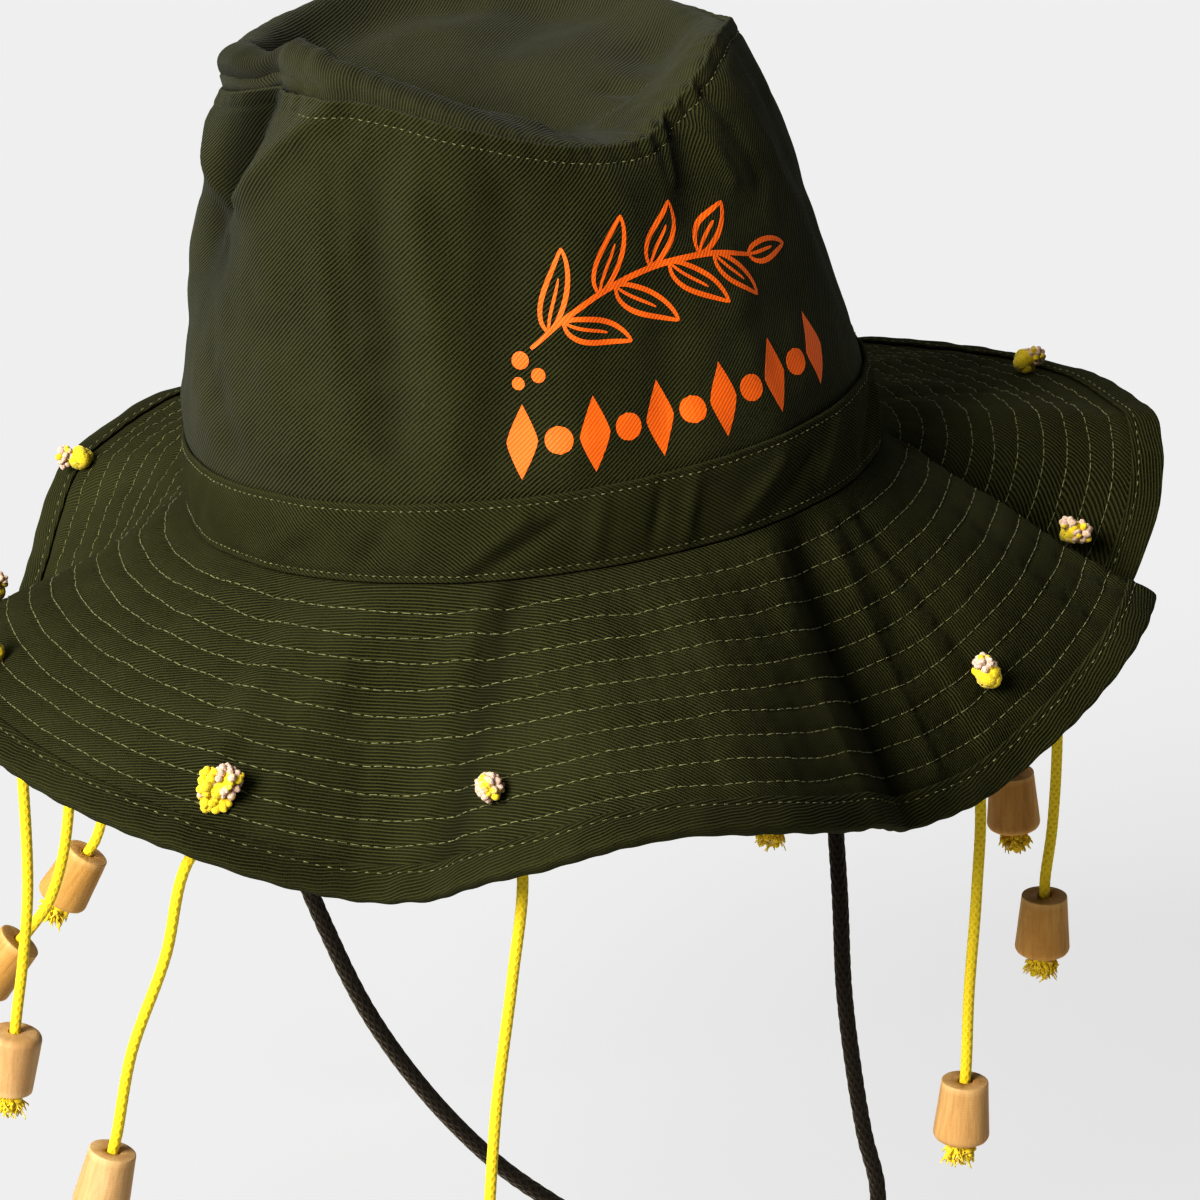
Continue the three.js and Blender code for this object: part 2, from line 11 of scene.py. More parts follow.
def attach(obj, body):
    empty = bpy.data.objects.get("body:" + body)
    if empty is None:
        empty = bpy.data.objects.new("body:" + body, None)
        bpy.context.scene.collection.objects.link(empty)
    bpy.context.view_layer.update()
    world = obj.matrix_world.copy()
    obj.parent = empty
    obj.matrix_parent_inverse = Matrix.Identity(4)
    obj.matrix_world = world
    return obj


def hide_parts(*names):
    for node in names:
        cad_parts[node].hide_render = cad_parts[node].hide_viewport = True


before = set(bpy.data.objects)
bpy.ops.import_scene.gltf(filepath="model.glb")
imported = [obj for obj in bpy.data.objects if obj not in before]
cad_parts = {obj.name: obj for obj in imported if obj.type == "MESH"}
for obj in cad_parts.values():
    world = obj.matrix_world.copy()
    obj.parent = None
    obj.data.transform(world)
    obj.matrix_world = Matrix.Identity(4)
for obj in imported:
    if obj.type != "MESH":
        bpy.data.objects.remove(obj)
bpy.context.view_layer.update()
scene = bpy.context.scene
print("frame loaded:", len(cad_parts), "nodes")

# camera
view = {
    "azimuth": -22,  # degrees round the hat, 0 is straight in front
    "elevation": 21,
    "roll": 3,
    "distance": 2.0,  # metres from the origin
    "lens": 235.26,  # mm on a 36 mm sensor
    "shiftX": 0.0554,
    "shiftY": -0.1103,
}


def wayTo(azimuth, elevation):
    turn, rise = math.radians(azimuth), math.radians(elevation)
    return Vector((math.sin(turn) * math.cos(rise), -math.cos(turn) * math.cos(rise), math.sin(rise)))


def addCamera(settings):
    turn, roll = math.radians(settings["azimuth"]), math.radians(settings["roll"])
    back = wayTo(settings["azimuth"], settings["elevation"])
    right = Vector((math.cos(turn), math.sin(turn), 0))
    up = back.cross(right)
    rolledRight = right * math.cos(roll) + up * math.sin(roll)
    rolledUp = up * math.cos(roll) - right * math.sin(roll)
    lens = bpy.data.cameras.new("camera")
    lens.lens = settings["lens"]
    lens.sensor_width = 36
    lens.shift_x = settings["shiftX"]
    lens.shift_y = settings["shiftY"]
    lens.clip_end = 50
    camera = bpy.data.objects.new("camera", lens)
    camera.matrix_world = Matrix.Translation(back * settings["distance"]) @ Matrix(
        (rolledRight, rolledUp, back)).transposed().to_4x4()
    scene.collection.objects.link(camera)
    scene.camera = camera


addCamera(view)

# the hat's shape
hat = {
    "headWidth": 170, "headLength": 186,
    "crownHeight": 106, "crownTaper": 23, "crownWall": 1.6,
    "tipStep": 1.2, "tipWall": 1.6,
    "gap": 0.3,
    "bandHeight": 20, "bandWall": 1.2,
    "brimLength": 78, "brimWall": 2.2,
    "bindingWidth": 8, "bindingWall": 0.8,
    "tilt": 8,  # degrees, up at the front and up on the wearer's left
    "tipRollAt": 0.88, "tipRollSpread": 0.11,
}

crownProfile = [(0, 0), (0.2, 0.06), (0.5, 0.31), (0.75, 0.57), (0.9, 0.78), (1, 1)]  # rise, how far leant in
seamLine = [(-125, 1.01), (-60, 1.1), (15, 0.91), (52, 1.07), (95, 1.01), (170, 1.05)]  # azimuth, height
brimDrop = [
    (-165, 5), (-152, 10), (-140, 27), (-130, 35), (-108, 19), (-90, 22), (-60, 38), (-40, 58),
    (-27, 46), (-12, 38), (0, 44), (12, 57), (24, 68), (34, 66), (45, 55), (56, 42), (63, 39),
    (70, 50), (78, 22), (84, 13), (100, 12), (125, 12), (150, 27), (178, 18),
]
brimReach = [
    (-165, 1), (-90, 1), (0, 1), (12, 1), (24, 1.05), (34, 1.07), (45, 1.04), (56, 1.03), (63, 1.03),
    (70, 1.02), (78, 1), (84, 1),
]
tipRoll = [
    (-150, 0.1), (-125, 0.115), (-98, 0.148), (-80, 0.134), (-62, 0.134), (-50, 0.09), (-38, 0.06),
    (-15, 0.03), (15, 0), (30, 0), (75, 0.03), (130, 0.05),
]

# Folds of the crown's side: from azimuth and rise to azimuth and rise, how far out, and how wide (mm).
crownFolds = [
    (-82, 0.98, -92, 0.72, -9, 12.7),
    (-56, 0.97, -91, 0.69, 3.4, 6.4),
    (-108, 0.95, -93, 0.73, 1.7, 6.4),
    (26, 0.98, 22, 0.84, -3.2, 8.5),
    (92, 0.2, 96, 0.28, 3.7, 9.5),
    (78, 0.5, 100, 0.42, -2.3, 14.8),
]
crownCreases = [
    (-58, 0.96, -80, 0.79, 1.5, 2.6),
    (-80, 0.79, -90, 0.70, 0.9, 3.0),
    (-106, 0.93, -95, 0.75, 0.7, 2.4),
    (-121, 0.93, -113, 0.8, -1.8, 9),
    (-116, 0.6, -114, 0.25, 1.2, 14),
    (-84, 0.95, -91, 0.77, -1.8, 3.2),
    (-54, 0.86, -50, 0.45, -0.7, 3.4),
    (-69, 0.42, -62, 0.3, 0.9, 5),
    (-88, 0.4, -78, 0.26, -1.2, 5),
    (-46, 0.8, -44, 0.3, -1.9, 7),
    (-36, 0.8, -31, 0.3, 2.0, 7),
    (-20, 0.85, -26, 0.3, -1.8, 8),
    (-6, 0.75, -14, 0.25, 1.4, 7),
    (12, 0.85, 4, 0.3, -1.3, 7),
    (24, 0.5, 26, 0.25, 0.9, 7),
    (56, 0.9, 60, 0.4, -1.0, 7),
    (30, 0.93, 33, 0.78, 0.9, 2.2),
    (36, 0.95, 40, 0.72, -0.9, 2.6),
    (43, 0.93, 49, 0.64, 0.8, 3.2),
    (22, 0.97, 20, 0.88, 0.9, 1.8),
    (84, 0.21, 90, 0.4, 1.3, 2.2),
    (90, 0.2, 96, 0.46, -2.2, 2.6),
    (97, 0.2, 101, 0.38, 1.5, 2.4),
    (74, 0.22, 80, 0.34, -0.9, 3),
    (130, 0.9, 124, 0.5, -1.4, 7),
    (168, 0.95, 176, 0.6, -1.6, 8),
    (-150, 0.9, -140, 0.5, -1.2, 7),
]
# Folds of the tip in plan: from and to, as shares of its half width and half length, then up and how wide (mm).
tipFolds = [
    (-0.45, 0.05, 0.2, -0.4, -12.7, 21),
    (0.55, -0.45, 0.68, -0.2, -5.3, 10.6),
]
tipCreases = [
    (-0.62, -0.52, -0.1, -0.83, 1.6, 2.6),
    (0.3, -0.62, 0.72, -0.42, 1.8, 3.2),
    (0.44, -0.3, 0.62, -0.46, -1.8, 3.4),
    (0.1, 0.1, 0.5, 0.45, -1.2, 9),
    (-0.9, 0.0, -0.55, 0.12, -2.2, 5),
    (-0.86, -0.32, -0.62, -0.1, 1.4, 4),
    (-0.3, 0.6, 0.2, 0.5, 1.2, 9),
    (-0.79, -0.56, -0.72, -0.45, -0.6, 2.2),
]
# Folds of the brim in plan: azimuth and share of the way out, twice, then up and how wide (mm).
brimFolds = [
    (-29.5, 0.04, -38.5, 0.98, 1.4, 5),
    (-25.5, 0.06, -34, 0.92, -1.2, 4.2),
    (16, 0.03, 14.5, 1.0, 1.4, 6),
    (23.5, 0.03, 22, 0.97, -2.2, 6),
    (30, 0.05, 29, 0.9, 1.4, 4.5),
    (36, 0.04, 37, 0.8, 1.0, 2.6),
    (39, 0.05, 41, 0.8, -0.9, 3),
    (2, 0.1, -2, 0.8, 0.9, 7),
    (-8, 0.2, -13, 0.9, -0.8, 6),
    (-46, 0.3, -44, 0.98, -0.9, 4.5),
    (-58, 0.25, -60, 0.95, 1.0, 5),
    (68, 0.04, 63.5, 1.02, 2.4, 3.0),
    (71.5, 0.06, 67.5, 1.02, -2.2, 3.0),
    (59, 0.1, 56, 0.9, -0.9, 5),
    (-48, 0.1, -52, 0.7, 0.9, 6),
    (-66, 0.0, -63, 0.5, -0.9, 4),
    (-74, 0.05, -78, 0.5, 0.8, 4),
    (40, 0.3, 38, 0.9, 0.9, 5),
    (88, 0.05, 93, 0.5, -1.0, 5),
    (108, 0.1, 112, 0.8, 0.9, 7),
    (150, 0.1, 146, 0.9, 1.2, 7),
    (-150, 0.1, -146, 0.8, -1.2, 6),
    (-120, 0.1, -124, 0.7, 1.0, 6),
]
# Swells of cloth that isn't quite flat: height and size in mm, and seed.
swells = {
    "crown": [(1.5, 26, 3.7), (0.6, 9, 8.1)],
    "tip": [(1.6, 27, 1.9), (0.4, 9, 5.3)],
    "band": [(0.55, 14, 4.4), (0.2, 5, 2.4)],
    "brim": [(1.1, 30, 2.2), (0.55, 10, 6.4), (0.15, 4, 1.4)],
}
gathers = {"crown": 66, "puffs": 120, "binding": 105}  # how many go round the hat
# Where the cloth is gathered at the tip's seam: all round, then azimuth, half width and how much more.
gathered = {"crown": (0.16, [(27, 15, 0.75), (-62, 14, 0.3)]), "tip": (0.2, [(27, 17, 0.9), (-62, 18, 0.5)])}
headRadius = 90  # mm, from which the brim's folds are laid out in plan
tipRadius = 62  # mm from the middle of the tip to its seam

tiltMatrix = np.array(
    Matrix.Rotation(math.radians(-hat["tilt"]), 3, "Y") @ Matrix.Rotation(math.radians(-hat["tilt"]), 3, "X"))
lipWidth = hat["crownWall"] + hat["gap"] + hat["bandWall"]


def toRow(points):
    return (np.asarray(points) @ tiltMatrix.T) * 0.001


def smoothTable(rows, at, ring=True):
    places = np.array([row[0] for row in rows], float)
    values = np.array([row[1] for row in rows], float)
    at = np.asarray(at, float)
    if ring:
        at = (at - places[0]) % 360 + places[0]
        values = np.concatenate([values[-2:], values, values[:2]])
        places = np.concatenate([places[-2:] - 360, places, places[:2] + 360])
    rise = np.diff(values) / np.diff(places)
    slope = np.concatenate([rise[:1], np.zeros(len(values) - 2), rise[-1:]])
    same = rise[:-1] * rise[1:] > 0
    slope[1:-1][same] = (2 * rise[:-1] * rise[1:])[same] / (rise[:-1] + rise[1:])[same]
    i = np.clip(np.searchsorted(places, at, side="right") - 1, 0, len(places) - 2)
    width = places[i + 1] - places[i]
    t = np.clip((at - places[i]) / width, 0, 1)
    return ((2 * t**3 - 3 * t**2 + 1) * values[i] + (t**3 - 2 * t**2 + t) * slope[i] * width
            + (3 * t**2 - 2 * t**3) * values[i + 1] + (t**3 - t**2) * slope[i + 1] * width)


def hill(value, middle, width):
    return np.exp(-(((value - middle) / width) ** 2))


def foldSum(folds, x, y, scaleX, scaleY):
    # each fold runs from one place to another, with its height and its width
    total = 0.0
    for startX, startY, endX, endY, height, width in folds:
        startX, startY, alongX, alongY = (
            startX * scaleX, startY * scaleY, (endX - startX) * scaleX, (endY - startY) * scaleY)
        share = np.clip(((x - startX) * alongX + (y - startY) * alongY) / (alongX**2 + alongY**2), 0, 1)
        total = total + height * hill(np.hypot(x - startX - share * alongX, y - startY - share * alongY), 0, width)
    return total


def unit(ways):
    return ways / np.linalg.norm(ways, axis=-1, keepdims=True)


def turns(count):
    return np.arange(count) * 2 * math.pi / count


def smoothStep(value, low, high):
    t = np.clip((value - low) / (high - low), 0, 1)
    return t * t * (3 - 2 * t)


def softNoise(points, size, shift):
    flat = (np.asarray(points).reshape(-1, 3) / size + shift).tolist()
    return np.array([noise.noise(place) for place in flat]).reshape(np.asarray(points).shape[:-1])


def swell(points, kind):
    return sum(height * softNoise(points, size, seed) for height, size, seed in swells[kind])


def ovalPlace(azimuth, out, up):
    azimuth, out, up = np.broadcast_arrays(*(np.asarray(value, float) for value in (azimuth, out, up)))
    angle = np.radians(azimuth)
    across, along = np.sin(angle), -np.cos(angle)
    normalX, normalY = across / hat["headWidth"], along / hat["headLength"]
    length = np.hypot(normalX, normalY)
    x = across * hat["headWidth"] / 2 + normalX / length * out
    y = along * hat["headLength"] / 2 + normalY / length * out
    return np.stack([x, y, up], axis=-1)


def seamHeight(azimuth):
    return hat["crownHeight"] * smoothTable(seamLine, azimuth)


def puckers(azimuth, count, shift):
    # small gathers along a sewn seam, uneven in spacing
    angle = np.radians(azimuth)
    wander = 1.3 * np.sin(5 * angle + shift) + 0.9 * np.sin(11 * angle + 2 * shift) + 0.7 * np.sin(23 * angle)
    return np.sin(count * angle + wander)


def seamGathers(azimuth, fromSeam, kind, shift):
    allRound, places = gathered[kind]
    much = allRound + sum(more * hill(azimuth, middle, width) for middle, width, more in places)
    return much * puckers(azimuth, gathers["crown"], shift) * np.exp(-fromSeam / 5.0)


def crownOut(azimuth, rise, creases=True):
    # how far the crown's outer face stands out from the head opening
    perDegree = math.radians(hat["headWidth"] / 2)
    azimuth = (np.asarray(azimuth, float) + 180) % 360 - 180
    folds = [(fold[0] + turn, fold[1], fold[2] + turn, *fold[3:]) for turn in (-360, 0, 360)
             for fold in crownFolds + (crownCreases if creases else []) if abs(fold[0] + turn) <= 240]
    out = hat["crownWall"] - hat["crownTaper"] * smoothTable(crownProfile, rise, ring=False)
    return out + smoothStep(rise, 0, 0.15) * foldSum(
        folds, azimuth * perDegree, rise * hat["crownHeight"], perDegree, hat["crownHeight"])


def crownSurface(azimuth, up, lift=0.0):
    # outer face of the crown's side, up in mm above the brim seam
    azimuth, up = np.broadcast_arrays(np.asarray(azimuth, float), np.asarray(up, float))
    seam, foot, bandHeight = seamHeight(azimuth), hat["crownWall"], hat["bandHeight"]
    underBand = foot + (crownOut(azimuth, bandHeight / seam) - foot) * np.clip(up / bandHeight, 0, 1)
    out = np.where(up < bandHeight, underBand, crownOut(azimuth, np.clip(up / seam, 0, 1.05)))
    below = seam - up
    relief = seamGathers(azimuth, np.clip(below, 0, None), "crown", 0.4)
    relief = relief - 0.45 * hill(below, seamStitch["below"], 0.8)  # the stitched line pulls in
    relief = relief + smoothStep(up, bandHeight, bandHeight + 12) * swell(ovalPlace(azimuth, out, up), "crown")
    return ovalPlace(azimuth, out + relief + lift, up)


def tipSurface(azimuth, ring):
    # top face of the tip; ring is 1 at the seam
    angle = np.radians(azimuth)
    halfX, halfY = hat["headWidth"] / 2 - hat["crownTaper"], hat["headLength"] / 2 - hat["crownTaper"]
    x, y = ring * np.sin(angle) * halfX, -ring * np.cos(angle) * halfY
    nearSeam, fromSeam = 1 - ring**32, (1 - ring) * tipRadius
    height = hat["crownHeight"] + (seamHeight(azimuth) - hat["crownHeight"]) * ring**2 - hat["tipStep"]
    roll = smoothTable(tipRoll, azimuth) * hat["crownHeight"] * hill(ring, hat["tipRollAt"], hat["tipRollSpread"])
    height = height + nearSeam * (roll + foldSum(tipFolds + tipCreases, x, y, halfX, halfY))
    height = height + seamGathers(azimuth, fromSeam, "tip", 0.9) * smoothStep(fromSeam, 0, 2)
    height = height + 0.7 * smoothStep(fromSeam, 0.2, 3.0)  # the seam is a shallow groove
    height = height + smoothStep(fromSeam, 0, 9) * swell(np.stack([x, y, np.zeros_like(x)], axis=-1), "tip")
    rim = ovalPlace(azimuth, crownOut(azimuth, 1.0) - hat["crownWall"] * 0.75, 0)
    bulge = smoothTable(rollLean, azimuth) * nearSeam * (5.4 * hill(ring, 0.94, 0.055) - 2.2 * hill(ring, 0.986, 0.013))
    outward = ovalPlace(azimuth, 1.0, 0) - ovalPlace(azimuth, 0.0, 0)
    place = rim * ring[..., None] + outward * bulge[..., None]
    place[..., 2] = height
    return place


def brimPlan(azimuth, share):
    angle, far = math.radians(azimuth), headRadius + share * hat["brimLength"]
    return far * math.sin(angle), -far * math.cos(angle)


brimPlanFolds = [(*brimPlan(*fold[:2]), *brimPlan(*fold[2:4]), *fold[4:]) for fold in brimFolds]


def brimPlace(azimuth, along, depth=0.0, quilt=1.0):
    # along is measured from the band over the cloth, depth is below the top face
    azimuth, along, depth = np.broadcast_arrays(*(np.asarray(value, float) for value in (azimuth, along, depth)))
    angle, drop = np.radians(azimuth), np.radians(smoothTable(brimDrop, azimuth))
    share = along / (hat["brimLength"] * smoothTable(brimReach, azimuth))
    far = headRadius + along
    relief = swell(ovalPlace(azimuth, lipWidth + along, 0), "brim") + foldSum(
        brimPlanFolds, far * np.sin(angle), -far * np.cos(angle), 1, 1)
    relief = relief * smoothStep(share, 0, 0.12)
    rowStep, firstRow = quilting["step"] / hat["brimLength"], quilting["first"] / hat["brimLength"]
    fromRow = ((share - firstRow) / rowStep + 0.5) % 1 - 0.5
    inRows = smoothStep(share, firstRow - rowStep, firstRow) * (1 - smoothStep(share, 0.88, 0.93))
    dip = quilting["dip"] * (hill(fromRow, 0, 0.16) - 0.3)
    puff = quilting["puff"] * puckers(azimuth, gathers["puffs"], 0.2) * hill(fromRow, 0, 0.3)
    deep = depth - relief + quilt * (dip + puff) * inRows
    out = lipWidth + along * np.cos(drop) - deep * np.sin(drop)
    up = -hat["gap"] - along * np.sin(drop) - deep * np.cos(drop)
    return ovalPlace(azimuth, out, up)


quilting = {
    "first": 7.0,  # mm from the band to the first stitched row
    "step": 6.5,  # mm from row to row
    "rows": 10,
    "dip": 0.42,  # mm, how far the thread pulls the cloth in
    "puff": 0.2,  # mm, how far it puckers along a row
}
seamStitch = {"below": 4.0, "hidden": (-126, -62)}  # mm below the tip's seam, and the azimuths under the roll
# how far the tip's roll leans out over the seam on the wearer's right, by azimuth
rollLean = [(-170, 0), (-118, 1), (-78, 1), (-52, 0.35), (0, 0), (120, 0)]


# mesh making
def addMesh(name, points, faces, uvs, wearAndShade=None, smooth=True):
    # points in metres in the row frame, faces as one array per face size, uvs per face corner
    corners = np.concatenate([group.reshape(-1) for group in faces])
    sizes = np.concatenate([np.full(len(group), group.shape[1]) for group in faces])
    starts = np.concatenate([[0], np.cumsum(sizes)[:-1]])
    mesh = bpy.data.meshes.new(name)
    mesh.vertices.add(len(points))
    mesh.vertices.foreach_set("co", points.reshape(-1))
    mesh.loops.add(len(corners))
    mesh.loops.foreach_set("vertex_index", corners.astype(np.int32))
    mesh.polygons.add(len(sizes))
    mesh.polygons.foreach_set("loop_start", starts.astype(np.int32))
    mesh.polygons.foreach_set("use_smooth", np.full(len(sizes), smooth))
    mesh.update(calc_edges=True)
    layer = mesh.uv_layers.new(name="cloth")
    layer.data.foreach_set("uv", np.concatenate([group.reshape(-1) for group in uvs]))
    # the attribute holds wear above 0, where edges are lighter, and painted shade below 0, where folds and hollows are
    # darkened
    if wearAndShade is not None:
        attribute = mesh.attributes.new("wearAndShade", "FLOAT", "POINT")
        attribute.data.foreach_set("value", np.asarray(wearAndShade, float).reshape(-1))
    mesh.validate()
    made = bpy.data.objects.new(name, mesh)
    scene.collection.objects.link(made)
    return made


def gridQuads(rows, columns, loopRows=False, loopColumns=True):
    row, column = np.meshgrid(
        np.arange(rows if loopRows else rows - 1), np.arange(columns if loopColumns else columns - 1), indexing="ij")
    nextRow, nextColumn = (row + 1) % rows, (column + 1) % columns
    return np.stack([row * columns + column, row * columns + nextColumn, nextRow * columns + nextColumn,
                     nextRow * columns + column], axis=-1).reshape(-1, 4)


def turnedOut(points, faces, uvs):
    # turns the faces round if the closed form is inside out
    points, volume = np.asarray(points).reshape(-1, 3), 0.0
    for group in faces:
        corner = points[group]
        for k in range(1, corner.shape[1] - 1):
            volume += np.einsum("ij,ij->i", corner[:, 0], np.cross(corner[:, k], corner[:, k + 1])).sum()
    if volume <= 0:
        faces, uvs = [group[:, ::-1] for group in faces], [group[:, ::-1] for group in uvs]
    return points, faces, uvs


def closedRings(section, uv):
    # a surface closed both ways; uv has one row and one column more than section
    rows, columns = section.shape[:2]
    corners = uv.reshape(-1, 2)[gridQuads(rows + 1, columns + 1, loopColumns=False)]
    return turnedOut(section, [gridQuads(rows, columns, loopRows=True)], [corners])


def finishPiece(piece, material, slot, *nodes):
    piece.data.materials.append(material)
    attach(piece, "root")
    if nodes:
        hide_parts(*nodes)
    return piece


def ringCloth(name, section, uv, wearAndShade, *finish):
    # section: rows of points round a closed section, one column per azimuth
    points, faces, uvs = closedRings(toRow(np.array(section)), np.array(uv))
    finishPiece(addMesh(name, points, faces, uvs, np.array(wearAndShade)), *finish)


def joinedPiece(name, meshes, *finish, inHat=True, smooth=True):
    # meshes in mm, in the hat's untilted frame or else in the row frame
    points, faces, uvs = joinMeshes(meshes)
    points = toRow(points) if inHat else points * 0.001
    return finishPiece(addMesh(name, points, faces, uvs, smooth=smooth), *finish)


def acrossWays(along, ups):
    side = unit(np.cross(unit(along), ups))
    return side, np.cross(side, unit(along))


def tubeMesh(paths, ups, radii, sides, flat=1.0):
    # paths and ups are (count, points, 3), radii (points,) or (count, points) or (count, points, sides)
    count, length = paths.shape[:2]
    side, up = acrossWays(np.gradient(paths, axis=1), ups)
    radii = np.asarray(radii, float)
    if radii.ndim < 3:
        radii = np.broadcast_to(radii, (count, length))[..., None]
    angle = turns(sides)[:, None]
    points = paths[:, :, None] + np.broadcast_to(radii, (count, length, sides))[..., None] * (
        np.cos(angle) * side[:, :, None] + flat * np.sin(angle) * up[:, :, None])
    starts = np.arange(count)[:, None] * length * sides
    quads = (gridQuads(length, sides)[None] + starts[..., None]).reshape(-1, 4)
    uv = np.stack(np.meshgrid(np.arange(sides + 1) / sides, np.arange(length) / length), axis=-1).reshape(-1, 2)
    uv = np.tile(uv[gridQuads(length, sides + 1, loopColumns=False)], (count, 1, 1))
    caps = np.concatenate([starts + np.arange(sides)[::-1], starts + (length - 1) * sides + np.arange(sides)])
    return turnedOut(points, [quads, caps], [uv, np.zeros((len(caps), sides, 2))])


def joinMeshes(parts):
    points, faces, uvs, start = [], {}, {}, 0
    for partPoints, partFaces, partUvs in parts:
        points.append(partPoints)
        for group, uv in zip(partFaces, partUvs):
            size = group.shape[1]
            faces.setdefault(size, []).append(group + start)
            uvs.setdefault(size, []).append(uv)
        start += len(partPoints)
    order = sorted(faces)
    return (np.concatenate(points), [np.concatenate(faces[size]) for size in order],
            [np.concatenate(uvs[size]) for size in order])


# materials
def put(tree, kind, inputs=None, **settings):
    made = tree.nodes.new(kind)
    for key, value in settings.items():
        setattr(made, key, value)
    for key, value in (inputs or {}).items():
        if isinstance(value, bpy.types.NodeSocket):
            tree.links.new(value, made.inputs[key])
        else:
            made.inputs[key].default_value = value
    return made


def startMaterial(name, roughness, sheen=0.0, specular=0.3, sheenTint=(1, 1, 1),
                  glow=0.0, glowReach=(0.002, 0.0015, 0.0005)):
    material = bpy.data.materials.new(name)
    material.use_nodes = True
    shader = material.node_tree.nodes["Principled BSDF"]
    for key, value in {
            "Roughness": roughness, "Specular IOR Level": specular, "Sheen Weight": sheen, "Sheen Roughness": 0.5,
            "Sheen Tint": (*sheenTint, 1), "Subsurface Weight": glow,
            "Subsurface Radius": glowReach}.items():
        shader.inputs[key].default_value = value
    return material, material.node_tree, shader


def finishShader(tree, shader, colour, height, strength, distance):
    bump = put(tree, "ShaderNodeBump", {"Height": height, "Strength": strength, "Distance": distance}).outputs[0]
    tree.links.new(colour, shader.inputs["Base Color"])
    tree.links.new(bump, shader.inputs["Normal"])


def mixColour(tree, factor, first, second):
    return put(tree, "ShaderNodeMix", {0: factor, 6: first, 7: second}, data_type="RGBA").outputs[2]


def spread(tree, value, low, high, outLow=0.0, outHigh=1.0):
    return put(tree, "ShaderNodeMapRange", {0: value, 1: low, 2: high, 3: outLow, 4: outHigh}).outputs[0]


def maths(tree, operation, first, second=0.0):
    return put(tree, "ShaderNodeMath", {0: first, 1: second}, operation=operation).outputs[0]


def clothMap(tree, scale=(1, 1, 1), turn=0.0):
    # the uv in metres, scaled and then turned
    uv = put(tree, "ShaderNodeUVMap", uv_map="cloth").outputs[0]
    return put(tree, "ShaderNodeMapping", {0: uv, 2: (0, 0, math.radians(turn)), 3: scale}).outputs[0]


def objectPlace(tree):
    return put(tree, "ShaderNodeTexCoord").outputs["Object"]


def noiseMap(tree, place, scale, detail=2.0, roughness=0.5, distortion=0.0):
    return put(tree, "ShaderNodeTexNoise", {
        0: place, "Scale": scale, "Detail": detail, "Roughness": roughness, "Distortion": distortion}).outputs[0]


def waveMap(tree, place, direction, scale, distortion, detail=2.0, detailScale=1.0):
    return put(tree, "ShaderNodeTexWave", {
        0: place, "Scale": scale, "Distortion": distortion, "Detail": detail, "Detail Scale": detailScale,
    }, wave_type="BANDS", bands_direction=direction).outputs[1]


def ribMap(tree, place, step):
    return waveMap(tree, place, "X", math.pi / 10 / step, 1.1, 2.0, 0.35)


def wearAndShadeMap(tree):
    # reads edge wear above 0 and painted shade below 0
    return put(tree, "ShaderNodeAttribute", attribute_name="wearAndShade").outputs["Fac"]


# deep is the colour between the ribs, and also the colour that painted shade in folds darkens towards
cloth = {
    "roughness": 0.9, "sheen": 0.03, "sheenTint": (0.8, 0.8, 0.65), "ribStep": 0.85, "twillTurn": 0, "bump": 1.0,
    "deep": (0.0038, 0.0040, 0.0012, 1), "face": (0.061, 0.0618, 0.0215, 1), "faded": (0.064, 0.063, 0.025, 1),
    "worn": (0.060, 0.060, 0.023, 1), "fluff": (0.11, 0.105, 0.045, 1),
}


def twillCloth(name, **changes):
    # diagonal ribs of spun yarn over a slightly faded, dusty cloth, with lighter worn edges and painted shade in folds
    look = {**cloth, **changes}
    material, tree, shader = startMaterial(name, look["roughness"], look["sheen"], 0.06, look["sheenTint"])
    millimetres = clothMap(tree, (1000, 1000, 1000))
    turned = clothMap(tree, (1000, 1000, 1000), look["twillTurn"])
    picks = waveMap(tree, turned, "Y", math.pi / 10 / (look["ribStep"] * 0.62), 1.6, 1.0, 0.8)
    slub = noiseMap(tree, millimetres, 1.5, 3.0, 0.65)
    fade, dust = (noiseMap(tree, objectPlace(tree), *size) for size in ((28.0, 5.0, 0.62), (420.0, 3.0, 0.7)))
    ribs = spread(tree, ribMap(tree, turned, look["ribStep"]), 0.18, 0.82)
    weave = maths(tree, "ADD", maths(tree, "MULTIPLY", ribs, 0.88), maths(tree, "MULTIPLY", picks, 0.12))
    colour = mixColour(tree, weave, look["deep"], look["face"])
    colour = mixColour(tree, spread(tree, slub, 0.4, 0.75, 0.0, 0.4), colour, look["face"])
    colour = mixColour(tree, spread(tree, fade, 0.4, 0.7, 0.0, 0.35), colour, look["faded"])
    # worn holds edge wear above 0 and painted shade below 0
    worn = wearAndShadeMap(tree)
    wornPart = maths(tree, "MULTIPLY", maths(tree, "MAXIMUM", worn, 0.0), spread(tree, slub, 0.25, 0.75, 0.25, 0.9))
    colour = mixColour(tree, wornPart, colour, look["worn"])
    colour = mixColour(tree, spread(tree, dust, 0.66, 0.8, 0.0, 0.35), colour, look["fluff"])
    # a value below 0 is painted shade: cloth in folds and hollows is darkened towards the deep colour
    colour = mixColour(tree, spread(tree, worn, 0.0, -1.0, 0.0, 0.62), colour, look["deep"])
    tree.links.new(spread(tree, weave, 0, 1, look["roughness"] + 0.07, look["roughness"] - 0.05),
                   shader.inputs["Roughness"])
    height = maths(tree, "ADD", weave, maths(tree, "MULTIPLY", slub, 0.8))
    finishShader(tree, shader, colour, height, look["bump"], 0.00035)
    return material


crownTwill = twillCloth("crown twill", twillTurn=50, sheen=0.08, sheenTint=(0.85, 0.88, 0.92))
